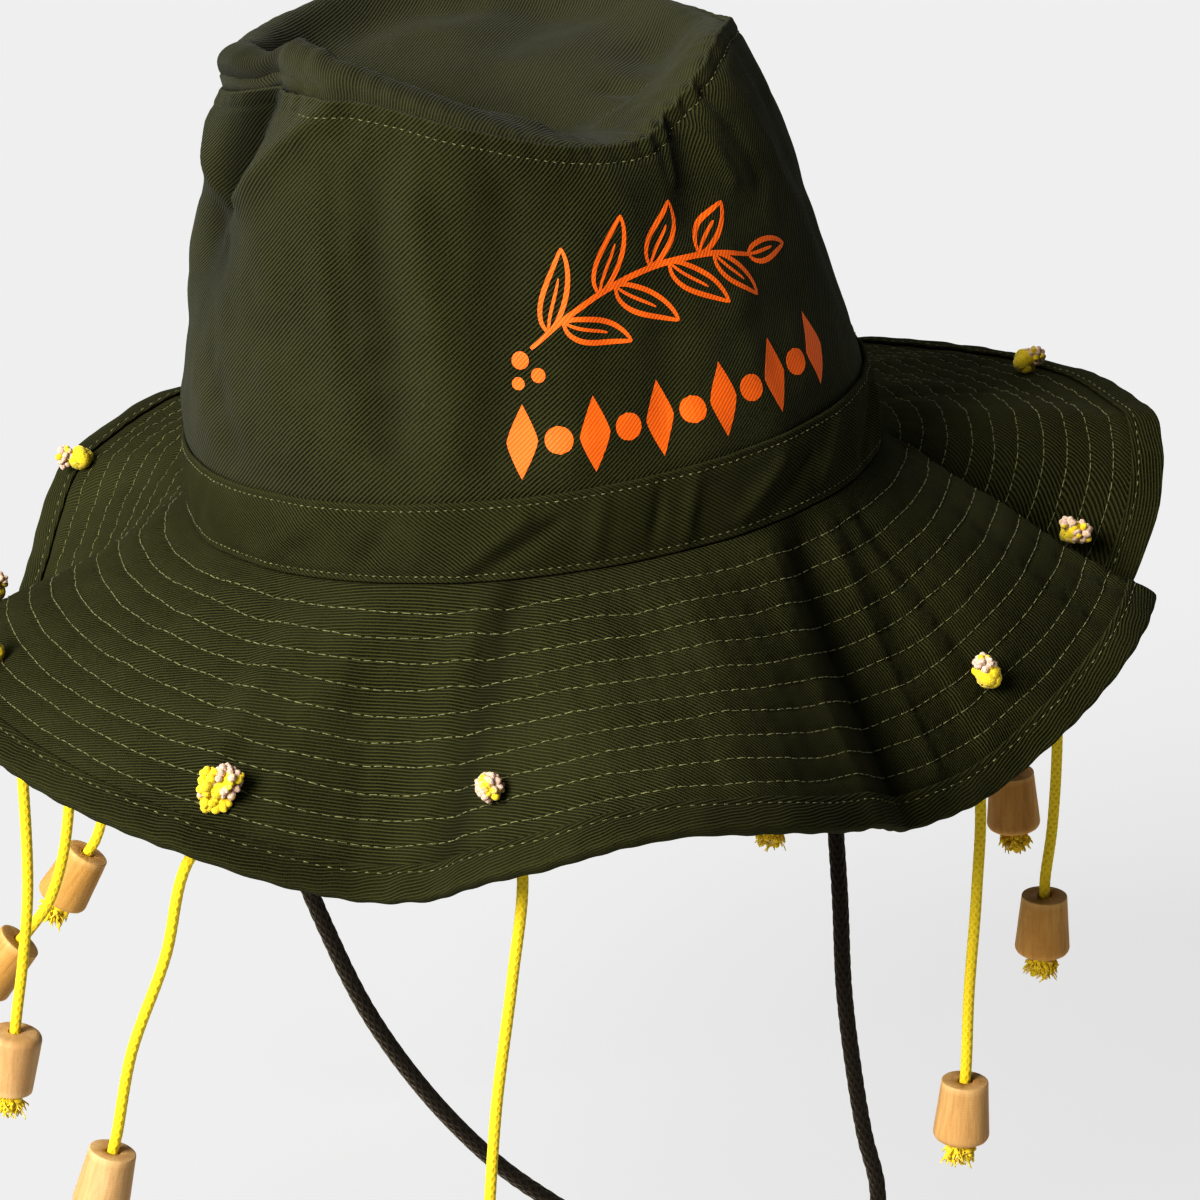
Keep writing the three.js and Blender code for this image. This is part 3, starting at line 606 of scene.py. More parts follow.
# the tip is the crown's own cloth, given a greyer face and paler grooves as painted sheen on the top face
tipTwillPaintedSheen = twillCloth("tip twill painted sheen", twillTurn=50, sheen=0.07, sheenTint=(0.9, 0.9, 0.9), bump=0.7,
                      deep=(0.015, 0.0155, 0.008, 1), face=(0.058, 0.0585, 0.030, 1))
bandTwill = twillCloth("band twill", twillTurn=-52, face=(0.057, 0.058, 0.0195, 1))
brimTwill = twillCloth("brim twill", twillTurn=-45)
bindingTwill = twillCloth("binding twill", twillTurn=-80, face=(0.052, 0.053, 0.018, 1))


def threadMaterial(name, colour, shade):
    material, tree, shader = startMaterial(name, 0.62, 0.15, 0.35)
    twist = noiseMap(tree, objectPlace(tree), 1400.0)
    finishShader(tree, shader, mixColour(tree, spread(tree, twist, 0.35, 0.65), shade, colour), twist, 0.5, 0.0001)
    return material


thread = threadMaterial("stitching thread", (0.24, 0.235, 0.10, 1), (0.075, 0.075, 0.028, 1))


def braidMaterial(name, look):
    # plaited strands: u runs round the cord and v along it, in metres
    material, tree, shader = startMaterial(name, look["roughness"], look["sheen"], 0.3, look["sheenTint"], look["glow"])
    split = put(tree, "ShaderNodeSeparateXYZ", {0: clothMap(tree)})
    around = maths(tree, "MULTIPLY", split.outputs[0], look["strands"] * 2 * math.pi)
    along = maths(tree, "MULTIPLY", split.outputs[1], 2 * math.pi / look["pitch"])
    left, right = (maths(tree, "SINE", maths(tree, way, around, along)) for way in ("ADD", "SUBTRACT"))
    plait = spread(tree, maths(tree, "MAXIMUM", left, right), -0.6, 1.0)
    fibres = noiseMap(tree, objectPlace(tree), 1800.0, 3.0, 0.7)
    soil = noiseMap(tree, objectPlace(tree), 120.0, 3.0)
    colour = mixColour(tree, plait, look["deep"], look["face"])
    colour = mixColour(tree, spread(tree, fibres, 0.45, 0.75, 0.0, look["fleck"]), colour, look["flecks"])
    colour = mixColour(tree, spread(tree, soil, 0.5, 0.75, 0.0, 0.35), colour, look["soiled"])
    height = maths(tree, "ADD", plait, maths(tree, "MULTIPLY", fibres, 0.5))
    finishShader(tree, shader, colour, height, 0.8, look["depth"])
    return material


yellowBraid = braidMaterial("yellow braid", {
    "roughness": 0.72, "sheen": 0.3, "sheenTint": (1, 0.95, 0.6), "strands": 5, "pitch": 0.0024, "depth": 0.00016,
    "glow": 0.12, "fleck": 0.25,
    "deep": (0.72, 0.52, 0.012, 1), "face": (0.82, 0.63, 0.025, 1), "flecks": (0.88, 0.72, 0.10, 1),
    "soiled": (0.72, 0.55, 0.03, 1),
})
darkBraid = braidMaterial("dark braid", {
    "roughness": 0.8, "sheen": 0.2, "sheenTint": (0.8, 0.7, 0.5), "strands": 8, "pitch": 0.0036, "depth": 0.0004,
    "glow": 0.0, "fleck": 0.3,
    "deep": (0.003, 0.0018, 0.001, 1), "face": (0.018, 0.0105, 0.005, 1), "flecks": (0.075, 0.052, 0.02, 1),
    "soiled": (0.022, 0.014, 0.007, 1),
})


def frayMaterial(name, paleFrom, paleShare):
    # loose yellow fibres with paler, slightly pink cut ends where v nears 1
    material, tree, shader = startMaterial(name, 0.8, 0.3, 0.25, (1, 0.95, 0.8), 0.1, (0.002, 0.0015, 0.0006))
    split = put(tree, "ShaderNodeSeparateXYZ", {0: clothMap(tree)})
    fibres = noiseMap(tree, objectPlace(tree), 1500.0, 3.0, 0.7)
    patches = noiseMap(tree, objectPlace(tree), 260.0)
    ends = maths(tree, "MULTIPLY", spread(tree, split.outputs[1], paleFrom, paleFrom + 0.3),
                 spread(tree, patches, 0.62 - paleShare * 0.3, 0.72 - paleShare * 0.3))
    pale = mixColour(tree, spread(tree, fibres, 0.35, 0.6), (0.50, 0.31, 0.20, 1), (0.78, 0.60, 0.49, 1))
    colour = mixColour(tree, spread(tree, fibres, 0.3, 0.7), (0.68, 0.46, 0.012, 1), (0.90, 0.73, 0.06, 1))
    finishShader(tree, shader, mixColour(tree, ends, colour, pale), fibres, 0.8, 0.0004)
    return material


frayedYellow = frayMaterial("frayed yellow fibres", 0.6, 0.45)
cutEnds = frayMaterial("cut cord ends", 0.28, 1.0)


def corkWood(name, dark, pale, grainColour):
    # turned wood: grain along the cork, fine tool marks round it (uv in metres, u round and v along)
    material, tree, shader = startMaterial(name, 0.55, 0.0, 0.25, glow=0.08, glowReach=(0.003, 0.0015, 0.0007))
    grain = noiseMap(tree, clothMap(tree, (900, 90, 1)), 1.0, 6.0, 0.62, 0.4)
    bands = noiseMap(tree, clothMap(tree, (160, 22, 1)), 1.0, 3.0)
    pore = noiseMap(tree, clothMap(tree, (4200, 520, 1)), 1.0, 2.0, 0.6)
    marks = waveMap(tree, clothMap(tree, (1, 1000, 1)), "Y", 0.42, 0.4)
    colour = mixColour(tree, spread(tree, bands, 0.32, 0.68), dark, pale)
    colour = mixColour(tree, spread(tree, grain, 0.42, 0.72, 0.0, 0.6), colour, grainColour)
    colour = mixColour(tree, spread(tree, pore, 0.62, 0.78, 0.0, 0.55), colour, (0.26, 0.12, 0.035, 1))
    colour = mixColour(tree, maths(tree, "MULTIPLY", wearAndShadeMap(tree), 0.25), colour, (0.90, 0.66, 0.34, 1))
    tree.links.new(spread(tree, grain, 0.3, 0.7, 0.48, 0.66), shader.inputs["Roughness"])
    height = maths(tree, "ADD", maths(tree, "MULTIPLY", marks, 0.25), maths(tree, "ADD", grain, pore))
    finishShader(tree, shader, colour, height, 0.35, 0.00025)
    return material


woods = [
    corkWood("pale wood", (0.52, 0.31, 0.13, 1), (0.66, 0.44, 0.22, 1), (0.45, 0.25, 0.10, 1)),
    corkWood("honey wood", (0.48, 0.275, 0.10, 1), (0.63, 0.39, 0.165, 1), (0.40, 0.21, 0.07, 1)),
    corkWood("brown wood", (0.47, 0.25, 0.065, 1), (0.60, 0.35, 0.11, 1), (0.37, 0.18, 0.04, 1)),
]
woodOfCork = [1, 0, 0, 2, 2, 1, 0, 2, 2, 1]


def printInk():
    # flat orange ink, which sinks between the ribs of the cloth
    material, tree, shader = startMaterial("orange ink", 0.6, 0.0, 0.35)
    turned = clothMap(tree, (1000, 1000, 1000), 50)
    ribs = ribMap(tree, turned, cloth["ribStep"])
    flakes = noiseMap(tree, turned, 1.7, 3.0, 0.7)
    colour = mixColour(tree, ribs, (0.72, 0.125, 0.008, 1), (0.88, 0.185, 0.014, 1))
    colour = mixColour(tree, spread(tree, flakes, 0.62, 0.78, 0.0, 0.6), colour, (0.22, 0.10, 0.02, 1))
    finishShader(tree, shader, colour, ribs, 0.35, 0.00015)
    return material


ink = printInk()
print("materials made")

# cords, corks and knots
rope = {
    "corkCord": 2.9, "chinCord": 4.4, "stub": 6.5,
    "corkHeight": 16.4, "corkTop": 12.0, "corkFoot": 14.4,
    "knotHigh": 3.4, "knotSeat": 0.3, "knotYarn": 1.95,  # mm over the brim's top face, and the looped cord's radius
    "tailKnot": 7.2, "tailTuft": 6.5, "tailDrop": 2.6, "tailYarn": 1.5,
}
# One row per cork: azimuth, share of the way out, wide end up, cork's axis, and the cord's chosen points in mm
# from the end of its stub.
corkLines = [
    (-27.8, 0.72, False, (0, 0, -1),
     [(3.5, -1.5, -18), (2.5, -1, -46), (0.5, 0, -80), (0, 0, -112)]),
    (-57.7, 0.78, False, (-0.17, 0.07, -1),
     [(-9, 4, -17), (-13, 5, -41), (-20, 8, -68), (-23.5, 9.5, -95)]),
    (-94.4, 0.77, True, (-0.06, 0.02, -1),
     [(3, -1, -28), (4.5, -2, -55), (4, -1.5, -74), (2.5, -1, -95)]),
    (-112, 0.72, False, (-0.66, 0.27, -1),
     [(13, -5, -30), (14, -5.5, -55), (10.5, -4, -74), (3.5, -1.5, -86)]),
    (-150, 0.85, False, (-0.46, 0.18, -1),
     [(1, -0.5, -30), (2.5, -1, -63), (1.5, -0.5, -92), (-2.5, 1, -107)]),
    (173, 0.76, False, (0, 0, -1),
     [(1, 1, -20), (2, 0.5, -50), (1, -0.5, -76), (0.5, 0, -96)]),
    (138, 0.76, False, (0, 0, -1),
     [(4, -1.5, -26), (8, -3, -56), (11, -4.5, -86), (12.5, -5, -108)]),
    (100, 0.8, False, (0.1, -0.04, -1),
     [(0.5, 0, -28), (2, -0.5, -56), (3.5, -1, -82), (4.5, -1.5, -105)]),
    (73, 0.75, False, (0.03, -0.01, -1),
     [(2.5, -0.5, -24), (5.5, -1, -53), (6.2, -1, -80), (5.5, -1, -99.5)]),
    (41, 0.725, False, (0, 0, -1),
     [(6.5, -2.5, -30), (7.5, -3, -58), (7.5, -3, -86), (8, -3.5, -110)]),
]
chinRoute = [
    (-79, 0, -26), (-73, 0, -60), (-63, 0, -94), (-51, 0, -123), (-38, 0, -149), (-20, 0, -175), (0, 0, -197),
    (17, 0, -211), (38, 0, -226), (57, 0, -237), (75, 0, -245), (91, 0, -248), (104, 0, -245), (111, 0, -234),
    (111, 0, -219), (106, 0, -202), (101, 0, -180), (97, 0, -158), (94, 0, -131), (90, 0, -100), (86, 0, -60),
    (83, 0, -22),
]


def brimFace(azimuth, along):
    # the plain brim without its relief, as the hole of a cord was placed on it
    columns = 72
    step = 360 / columns
    before = math.floor(azimuth / step) * step
    ends = []
    for column in (before, before + step):
        drop = math.radians(float(smoothTable(brimDrop, column)))
        ends.append(ovalPlace(column, lipWidth + along * math.cos(drop), -hat["gap"] - along * math.sin(drop)))
    return ends[0] + (ends[1] - ends[0]) * (azimuth - before) / step


def holeFrame(azimuth, share):
    along, step = share * hat["brimLength"], 2.5
    place = brimFace(azimuth, along)
    roundWay = brimFace(azimuth + step, along) - brimFace(azimuth - step, along)
    outward = unit(brimFace(azimuth, along + step) - place)
    up = unit(-np.cross(roundWay, outward))
    return [tiltMatrix @ way for way in (place, up, outward, np.cross(up, outward))]


def smoothRoute(points, step):
    # centripetal curve through the points, then even steps along it (mm)
    points = np.asarray(points, float)
    ends = np.concatenate([[2 * points[0] - points[1]], points, [2 * points[-1] - points[-2]]])
    dense = []
    for i in range(1, len(ends) - 2):
        p0, p1, p2, p3 = ends[i - 1:i + 3]
        d0, d1, d2 = (max(np.linalg.norm(b - a), 1e-6) ** 0.5 for a, b in ((p0, p1), (p1, p2), (p2, p3)))
        m1 = ((p1 - p0) / d0 - (p2 - p0) / (d0 + d1) + (p2 - p1) / d1) * d1
        m2 = ((p2 - p1) / d1 - (p3 - p1) / (d1 + d2) + (p3 - p2) / d2) * d1
        t = np.linspace(0, 1, 40, endpoint=False)[:, None]
        dense.append((2 * t**3 - 3 * t**2 + 1) * p1 + (t**3 - 2 * t**2 + t) * m1
                     + (3 * t**2 - 2 * t**3) * p2 + (t**3 - t**2) * m2)
    dense = np.concatenate(dense + [points[-1:]])
    gone = np.concatenate([[0], np.cumsum(np.linalg.norm(np.diff(dense, axis=0), axis=1))])
    even = np.linspace(0, gone[-1], max(int(round(gone[-1] / step)), 4) + 1)
    return np.stack([np.interp(even, gone, dense[:, k]) for k in range(3)], axis=-1), gone[-1]


def steadyUps(path):
    # a direction across the path that never twists
    along = unit(np.gradient(path, axis=0))
    up, ups = np.cross(along[0], [0.3, 1.0, 0.2]), []
    for way in along:
        up = unit(up - way * np.dot(up, way))
        ups.append(up)
    return np.array(ups)


def braidedCord(name, route, diameter, strands, pitch, sides, step, relief, *finish):
    path, length = smoothRoute(route, step)
    turn = 2 * math.pi * np.linspace(0, length, len(path))[:, None] / pitch
    plait = np.maximum(np.sin(strands * turns(sides) + turn), np.sin(strands * turns(sides) - turn))
    radii = diameter / 2 * (1 + relief * (plait - 0.55))
    points, faces, uvs = tubeMesh(path[None], steadyUps(path)[None], radii[None], sides)
    uvs[0] = uvs[0] * np.array([1, len(path) * step * 0.001])
    return finishPiece(addMesh(name, points * 0.001, faces, uvs), *finish), path * 0.001, length * 0.001


def strandTuft(dice, root, way, length, count, spreadOut, thick):
    # cut strands that flare from a knot; root and way in mm in the row frame
    side = unit(np.cross(way, [0.31, 0.87, 0.38]))
    other = np.cross(way, side)
    paths, radii, ups = [], [], []
    for _ in range(count):
        turn, far = dice.uniform(0, 2 * math.pi), math.sqrt(dice.uniform(0, 1))
        across = side * math.cos(turn) + other * math.sin(turn)
        start = root + across * far * 1.9
        long = length * dice.uniform(0.5, 1.06)
        lean = far * spreadOut * dice.uniform(0.7, 1.15)
        curl = (side * dice.uniform(-1, 1) + other * dice.uniform(-1, 1)) * 1.1
        steps = np.linspace(0, 1, 6)[:, None]
        sway = (side * dice.uniform(-1, 1) + other * dice.uniform(-1, 1)) * 0.2 * long
        path = (start + way * long * steps * (1 - 0.18 * lean * steps)
                + across * long * lean * np.sin(steps * 2.3) * 0.75 + curl * long * 0.5 * steps**2
                + sway * np.sin(steps * 5.5))
        wide = thick * dice.uniform(0.75, 1.15)
        paths.append(path)
        radii.append(wide * np.array([0.8, 0.95, 1.0, 1.1, 1.15, 0.6]))
        ups.append(np.broadcast_to(np.cross(way, across) + 0.01, path.shape))
    return tubeMesh(np.array(paths), np.array(ups), np.array(radii), 4)


goldenTurn = 2.39996  # radians, which spreads places evenly over a ball


def lumpCluster(dice, centre, halves, count, size, paleShare, keepAbove):
    # chunky cut ends pressed together: rounded lumps over a core, spread evenly round centre (halves in mm along
    # knotAxes); uv is 1 on the pale ones and 0 on the rest, and keepAbove is a place and the way up from it
    rings, spokes = 6, 8
    polar = np.linspace(0.02, math.pi - 0.02, rings)[:, None]
    ball = np.stack(np.broadcast_arrays(
        np.sin(polar) * np.cos(turns(spokes)), np.sin(polar) * np.sin(turns(spokes)), np.cos(polar)), axis=-1)
    quads = gridQuads(rings, spokes)
    caps = np.stack([np.arange(spokes)[::-1], (rings - 1) * spokes + np.arange(spokes)])
    halves, parts = np.asarray(halves, float), []
    for k in range(count + 1):
        if k == count:  # the core
            middle, axes, pale = centre, knotAxes * (halves * 0.85)[:, None], 0.0
        else:
            high, turn = 1 - 2 * (k + 0.5) / count, goldenTurn * k + dice.uniform(-0.5, 0.5)
            flat = math.sqrt(1 - high * high)
            way = np.array([flat * math.cos(turn), flat * math.sin(turn), high]) * halves @ knotAxes
            middle, way = centre + way * dice.uniform(0.8, 1.05), unit(way)
            side = unit(np.cross(way, [0.31, 0.87, 0.38]))
            radius = size * dice.uniform(0.75, 1.2)
            axes = np.stack([side, np.cross(way, side), way * dice.uniform(1.0, 1.5)]) * radius
            pale = 1.0 if dice.random() < paleShare else 0.0
            low = (middle - keepAbove[0]) @ keepAbove[1] - size * 0.7
            middle = middle - min(low, 0) * keepAbove[1]
        lumps = 1 + 0.16 * softNoise(ball + k * 3.1, 0.7, 0.0)
        parts.append(turnedOut(middle + (ball * lumps[..., None]) @ axes, [quads, caps],
                               [np.full((len(quads), 4, 2), pale), np.full((2, spokes, 2), pale)]))
    return joinMeshes(parts)


def pulledKnot(centre, axis, way, size, thick, twist):
    # an overhand knot pulled tight: a looped tube, 3 lobes, seen as a lumpy ball
    side = unit(np.cross(axis, way))
    way = np.cross(side, axis)
    t, angle = turns(60)[:, None], turns(10)
    reach = (size / 2 - thick) / 3
    x, y = reach * (np.sin(t) + 2 * np.sin(2 * t)), reach * (np.cos(t) - 2 * np.cos(2 * t))
    flatX, flatY = x * math.cos(twist) - y * math.sin(twist), x * math.sin(twist) + y * math.cos(twist)
    path = centre + flatX * way + flatY * side - size * 0.17 * np.sin(3 * t) * axis
    radii = thick * (1 + 0.07 * np.maximum(np.sin(3 * angle + 14 * t), np.sin(3 * angle - 14 * t)))
    pathSide, pathUp = acrossWays(np.roll(path, -1, axis=0) - np.roll(path, 1, axis=0), axis)
    angle = angle[:, None]
    points = path[:, None] + radii[..., None] * (np.cos(angle) * pathSide[:, None] + np.sin(angle) * pathUp[:, None])
    return closedRings(points, np.zeros((61, 11, 2)))


def turnedCork(name, near, axis, wideUp, number):
    # lathe form with a drilled hole; near is the end by the brim
    bore, narrow, wide, tall = rope["corkCord"] / 2 + 0.3, rope["corkTop"] / 2, rope["corkFoot"] / 2, rope["corkHeight"]
    outline = [(bore, 0.0), (bore, 5.5), (bore, 11.0), (bore + 0.05, tall - 0.4), (bore + 0.35, tall)]
    outline += [(narrow - 2.2, tall), (narrow - 0.3, tall), (narrow - 0.08, tall - 0.07), (narrow, tall - 0.35)]
    outline += [(narrow + (wide - narrow) * share, tall - 0.35 - (tall - 2.25) * share)
                for share in (0.12, 0.25, 0.4, 0.55, 0.7, 0.82, 0.92)]
    outline += [(wide, 1.9), (wide - 0.12, 1.25), (wide - 0.5, 0.6), (wide - 1.1, 0.18), (wide - 1.9, 0.0),
                (bore + 2.2, 0.0), (bore + 0.35, 0.0)]
    outline = np.array(outline)
    sides, out = 56, outline[:, 0]
    down = outline[:, 1] if wideUp else tall - outline[:, 1]
    side, angle = unit(np.cross(axis, [0.2, 1.0, 0.1])), turns(sides)[:, None]
    ring = np.cos(angle) * side + np.sin(angle) * np.cross(axis, side)
    local = out[:, None, None] * ring + down[:, None, None] * axis
    wobble = 0.03 * softNoise(local + number * 31.7, 6.0, 0.5) * (out > bore + 0.3)[:, None]
    points = near + local + wobble[..., None] * ring
    gone = np.concatenate([[0], np.cumsum(np.linalg.norm(np.diff(outline, axis=0), axis=1))])
    gone = np.append(gone, gone[-1] + 1) + number * 17.0
    around = np.arange(sides + 1) / sides * 2 * math.pi * 6.6 + number * 53.0
    edge = hill(down, tall - 0.2 if wideUp else 0.2, 0.5) * (out > narrow - 1)
    wearAndShade = np.broadcast_to(edge[:, None], (len(outline), sides))
    return addMesh(name, *closedRings(points * 0.001, np.stack(np.meshgrid(around, gone), axis=-1) * 0.001), wearAndShade)


# The knots on the brim, in mm along three fixed ways of the row: across, to the front and up.
knotAxes = np.array([[0.927, -0.375, 0], [-0.375, -0.927, 0], [0, 0, 1.0]])
# For each: where it lies beside its hole (outward, sideways), its ball, and its clusters of cut ends, each with
# its place, half sizes, lumps, size of a lump and share of pale ones.
knotForms = {
    1: ((0, 1.8), 5.6, [((0, 0, 0), (2.7, 2.7, 2.6), 56, 1.05, 0.85)]),
    2: ((0.5, 0.5), 6.0, [((-2.4, 0, -0.4), (2.3, 2.2, 5.2), 36, 1.15, 0.12),
                          ((1.7, 0.6, 2.0), (3.1, 2.4, 3.8), 44, 1.05, 0.9),
                          ((0, 0.4, -3.8), (2.6, 1.8, 1.8), 16, 1.15, 0.1)]),
    3: ((0, 0), 6.6, [((-1.6, 0.8, 2.8), (2.6, 2.0, 2.0), 24, 1.0, 0.8)]),
    4: ((0, 0), 6.8, [((1.2, 0, 3.6), (1.9, 1.7, 1.7), 18, 0.95, 0.9)]),
    5: ((1.5, 0), 6.8, [((-4.3, 0.2, 0.2), (1.7, 1.5, 2.4), 20, 0.95, 0.95)]),
    6: ((0, 0), 7.0, [((2.6, -1.5, 2.6), (2.0, 1.7, 1.5), 18, 0.95, 0.9)]),
    7: ((0, 0), 6.8, [((-2.4, -1.0, 3.0), (2.0, 1.7, 1.5), 18, 0.95, 0.9)]),
    8: ((0, 0), 6.6, [((2.6, 0, 1.8), (2.4, 1.8, 1.6), 22, 0.95, 0.8)]),
    9: ((0, 0), 6.0, [((1.7, 0.4, 0), (2.8, 2.1, 2.3), 40, 0.95, 0.55),
                      ((-1.4, 0.8, 2.6), (1.5, 1.3, 0.9), 12, 0.95, 1.0)]),
    10: ((2.4, 0), 6.8, [((-1.3, 0.8, 3.9), (2.1, 1.6, 1.4), 22, 0.95, 0.97)]),
}
cordTable = []
for i, (azimuth, share, wideUp, axis, hangs) in enumerate(corkLines):
    dice, label = random.Random(700 + i), f"{i + 1:02d}"
    place, up, outward, side = holeFrame(azimuth, share)
    underBrim = place - up * hat["brimWall"]
    stubEnd = place - up * (hat["brimWall"] + rope["stub"])
    hang = [stubEnd + np.array(point) for point in hangs]
    corkEnd, axis = hang.pop(), unit(np.array(axis, float))
    inCork = [corkEnd + axis * step * rope["corkHeight"] for step in (-0.3, 0, 0.5, 1)]
    piece, path, length = braidedCord(
        f"corkCord{label}", [place, underBrim, stubEnd] + hang + inCork, rope["corkCord"], 4, 3.0, 14, 0.75, 0.022,
        yellowBraid, "yellow_cord", f"cork_cord_{label}")
    cork = finishPiece(turnedCork(f"cork{label}", corkEnd, axis, wideUp, i), woods[woodOfCork[i]], "cork_wood",
                       f"cork_{label}")

    # the knot on the brim, with its short cut ends
    push, ballSize, clusters = knotForms[i + 1]
    centre = place + up * rope["knotHigh"] + outward * push[0] + side * push[1]
    parts = [pulledKnot(centre, up * 0.85 + outward * 0.5, outward, ballSize, rope["knotYarn"], i * 1.1)]
    parts += [lumpCluster(dice, centre + np.array(offset) @ knotAxes, *form, (place + up * rope["knotSeat"], up))
              for offset, *form in clusters]
    topKnot = joinedPiece(f"topKnot{label}", parts, cutEnds, "yellow_cord", f"top_knot_{label}", inHat=False)

    # the knot that holds the cork, inside its frayed end
    centre = corkEnd + axis * (rope["corkHeight"] + rope["tailDrop"])
    underCork = (corkEnd + axis * (rope["corkHeight"] + 0.2), axis)
    parts = [
        pulledKnot(centre, axis * 0.9 + outward * 0.3, side, rope["tailKnot"] * 0.8, rope["tailYarn"], i * 0.7 + 0.4),
        lumpCluster(dice, centre + axis, (3.3, 3.3, 2.6), 34, 0.85, 0.15, underCork),
        strandTuft(dice, centre - axis * 1.2, axis, rope["tailTuft"] - 0.9, 80, 0.36, 0.24),
        strandTuft(dice, centre - axis * 1.4, axis, rope["tailTuft"] - 2.2, 90, 0.75, 0.24),
    ]
    tailKnot = joinedPiece(f"tailKnot{label}", parts, frayedYellow, "yellow_cord", f"tail_knot_{label}", inHat=False)
    cordTable.append((label, round(length, 4)))


def chinEnd(azimuth, height):
    bandTop = float(crownOut(azimuth, hat["bandHeight"] / seamHeight(azimuth), creases=False))
    out = hat["crownWall"] + (bandTop - hat["crownWall"]) * height / hat["bandHeight"]
    out += -hat["crownWall"] - hat["gap"] - rope["chinCord"] / 2
    return tiltMatrix @ ovalPlace(azimuth, out, height)


chinPoints = [chinEnd(-90, 11), chinEnd(-90, 0)] + [np.array(point, float) for point in chinRoute]
chinPoints += [chinEnd(90, 0), chinEnd(90, 11)]
chinCord, chinPath, chinLength = braidedCord(
    "chinCord", chinPoints, rope["chinCord"], 5, 4.6, 18, 0.9, 0.05, darkBraid, "chin_cord_braid", "chin_cord")
print("cords, corks and knots made:", cordTable, round(chinLength, 4))

# crown
columns = 528
azimuths = np.arange(columns) * 360 / columns - 180
clothRound = {"crown": 510, "band": 565, "binding": 1010}  # mm of cloth round the hat, for the weave


def wallUv(rowsUp, width, count):
    # the weave runs round a wall, with one row and one column more than its places
    around = (np.arange(count + 1) * 360 / count - 180) / 360 * width
    return np.stack(np.meshgrid(around, rowsUp), axis=-1) * 0.001


def makeCrownSide():
    seam, wall, section, uvUp, wearAndShade = seamHeight(azimuths), hat["crownWall"], [], [], []

    def addRow(points, step, worn):
        section.append(points)
        uvUp.append(uvUp[-1] + step)
        wearAndShade.append(np.zeros(columns) + worn)

    for share in np.concatenate([np.linspace(0, 0.18, 10), np.linspace(0.2, 0.9, 50), np.linspace(0.91, 0.993, 22)]):
        # painted shade: the cloth is darkened where a fold goes in
        fold = crownOut(azimuths, share) - wall + hat["crownTaper"] * smoothTable(crownProfile, share, ring=False)
        section.append(crownSurface(azimuths, seam * share))
        uvUp.append(share * hat["crownHeight"])
        wearAndShade.append(-np.clip(-fold / 6, 0, 1))
    top = crownSurface(azimuths, seam * 0.993)
    inward = ovalPlace(azimuths, -1.0, 0) - ovalPlace(azimuths, 0.0, 0)
    for across, rise in ((0.15, 0.42), (0.5, 0.72), (0.95, 0.74), (1.35, 0.45), (wall, 0.0)):
        addRow(top + inward * across + np.array([0, 0, rise]), 0.4, 0.7)
    # the seam's allowance stands in under the tip and closes the seam from above
    for share, inside in ((0.974, 0.0), (0.971, 3.2), (0.965, 3.3), (0.962, 0.0)):
        addRow(crownSurface(azimuths, seam * share, lift=-wall - inside), 1.5, 0)
    for share in np.linspace(0.955, 0.0, 26):
        addRow(crownSurface(azimuths, seam * share, lift=-wall), 4, 0)
    section[0][..., 2] = section[-1][..., 2] = 0.0
    ringCloth("crownSide", section, wallUv(uvUp + [uvUp[-1] + 1], clothRound["crown"], columns), wearAndShade,
              crownTwill, "crown_cloth", "crown_side")


# how strongly painted shade darkens the cloth under the tip's roll, by azimuth
paintedRollShade = [(-170, 0), (-130, 0), (-116, 1), (-84, 1), (-70, 0.3), (-45, 0.1), (-30, 0), (120, 0)]


def makeCrownTip():
    angle, rows, flat, wearAndShade = np.radians(azimuths), [], [], []
    gone = np.full(columns, 1.9)
    for ring in np.concatenate([np.linspace(0.03, 0.8, 22), np.linspace(0.815, 0.985, 22), [1.0]]):
        rows.append(tipSurface(azimuths, np.full(columns, ring)))
        if len(rows) > 1:
            gone = gone + np.linalg.norm(rows[-1] - rows[-2], axis=-1)
        flat.append(np.stack([gone * np.sin(angle), -gone * np.cos(angle)], axis=-1))
        # near the seam the cloth is lighter from wear, and under the roll it is darkened by painted shade
        rollShade = smoothTable(paintedRollShade, azimuths) * hill(ring, 0.98, 0.055)
        wearAndShade.append(0.5 * hill((1 - ring) * tipRadius, 2.5, 1.6) * (1 - rollShade) - 1.25 * rollShade)
    edge = flat[-1]
    for ring in (1.0, 0.96, 0.9, 0.82, 0.7, 0.55, 0.4, 0.2, 0.03):
        rows.append(tipSurface(azimuths, np.full(columns, ring)) - np.array([0, 0, hat["tipWall"]]))
        flat.append(edge * ring)
        wearAndShade.append(np.zeros(columns))
    count, middle = len(rows), [rows[0].mean(axis=0), rows[-1].mean(axis=0)]
    points = toRow(np.concatenate([np.array(rows).reshape(-1, 3), middle]))
    flat = np.concatenate([np.array(flat).reshape(-1, 2), np.zeros((2, 2))]) * 0.001
    quads, turn = gridQuads(count, columns), np.arange(columns)
    nextTurn, last = (turn + 1) % columns, (count - 1) * columns
    fans = np.concatenate([np.stack([np.full(columns, count * columns), nextTurn, turn], axis=-1),
                           np.stack([np.full(columns, count * columns + 1), last + turn, last + nextTurn], axis=-1)])
    wearAndShade = np.append(np.array(wearAndShade), [0, 0])
    finishPiece(addMesh("crownTip", *turnedOut(points, [quads, fans], [flat[quads], flat[fans]]), wearAndShade),
                tipTwillPaintedSheen, "crown_cloth", "crown_tip")


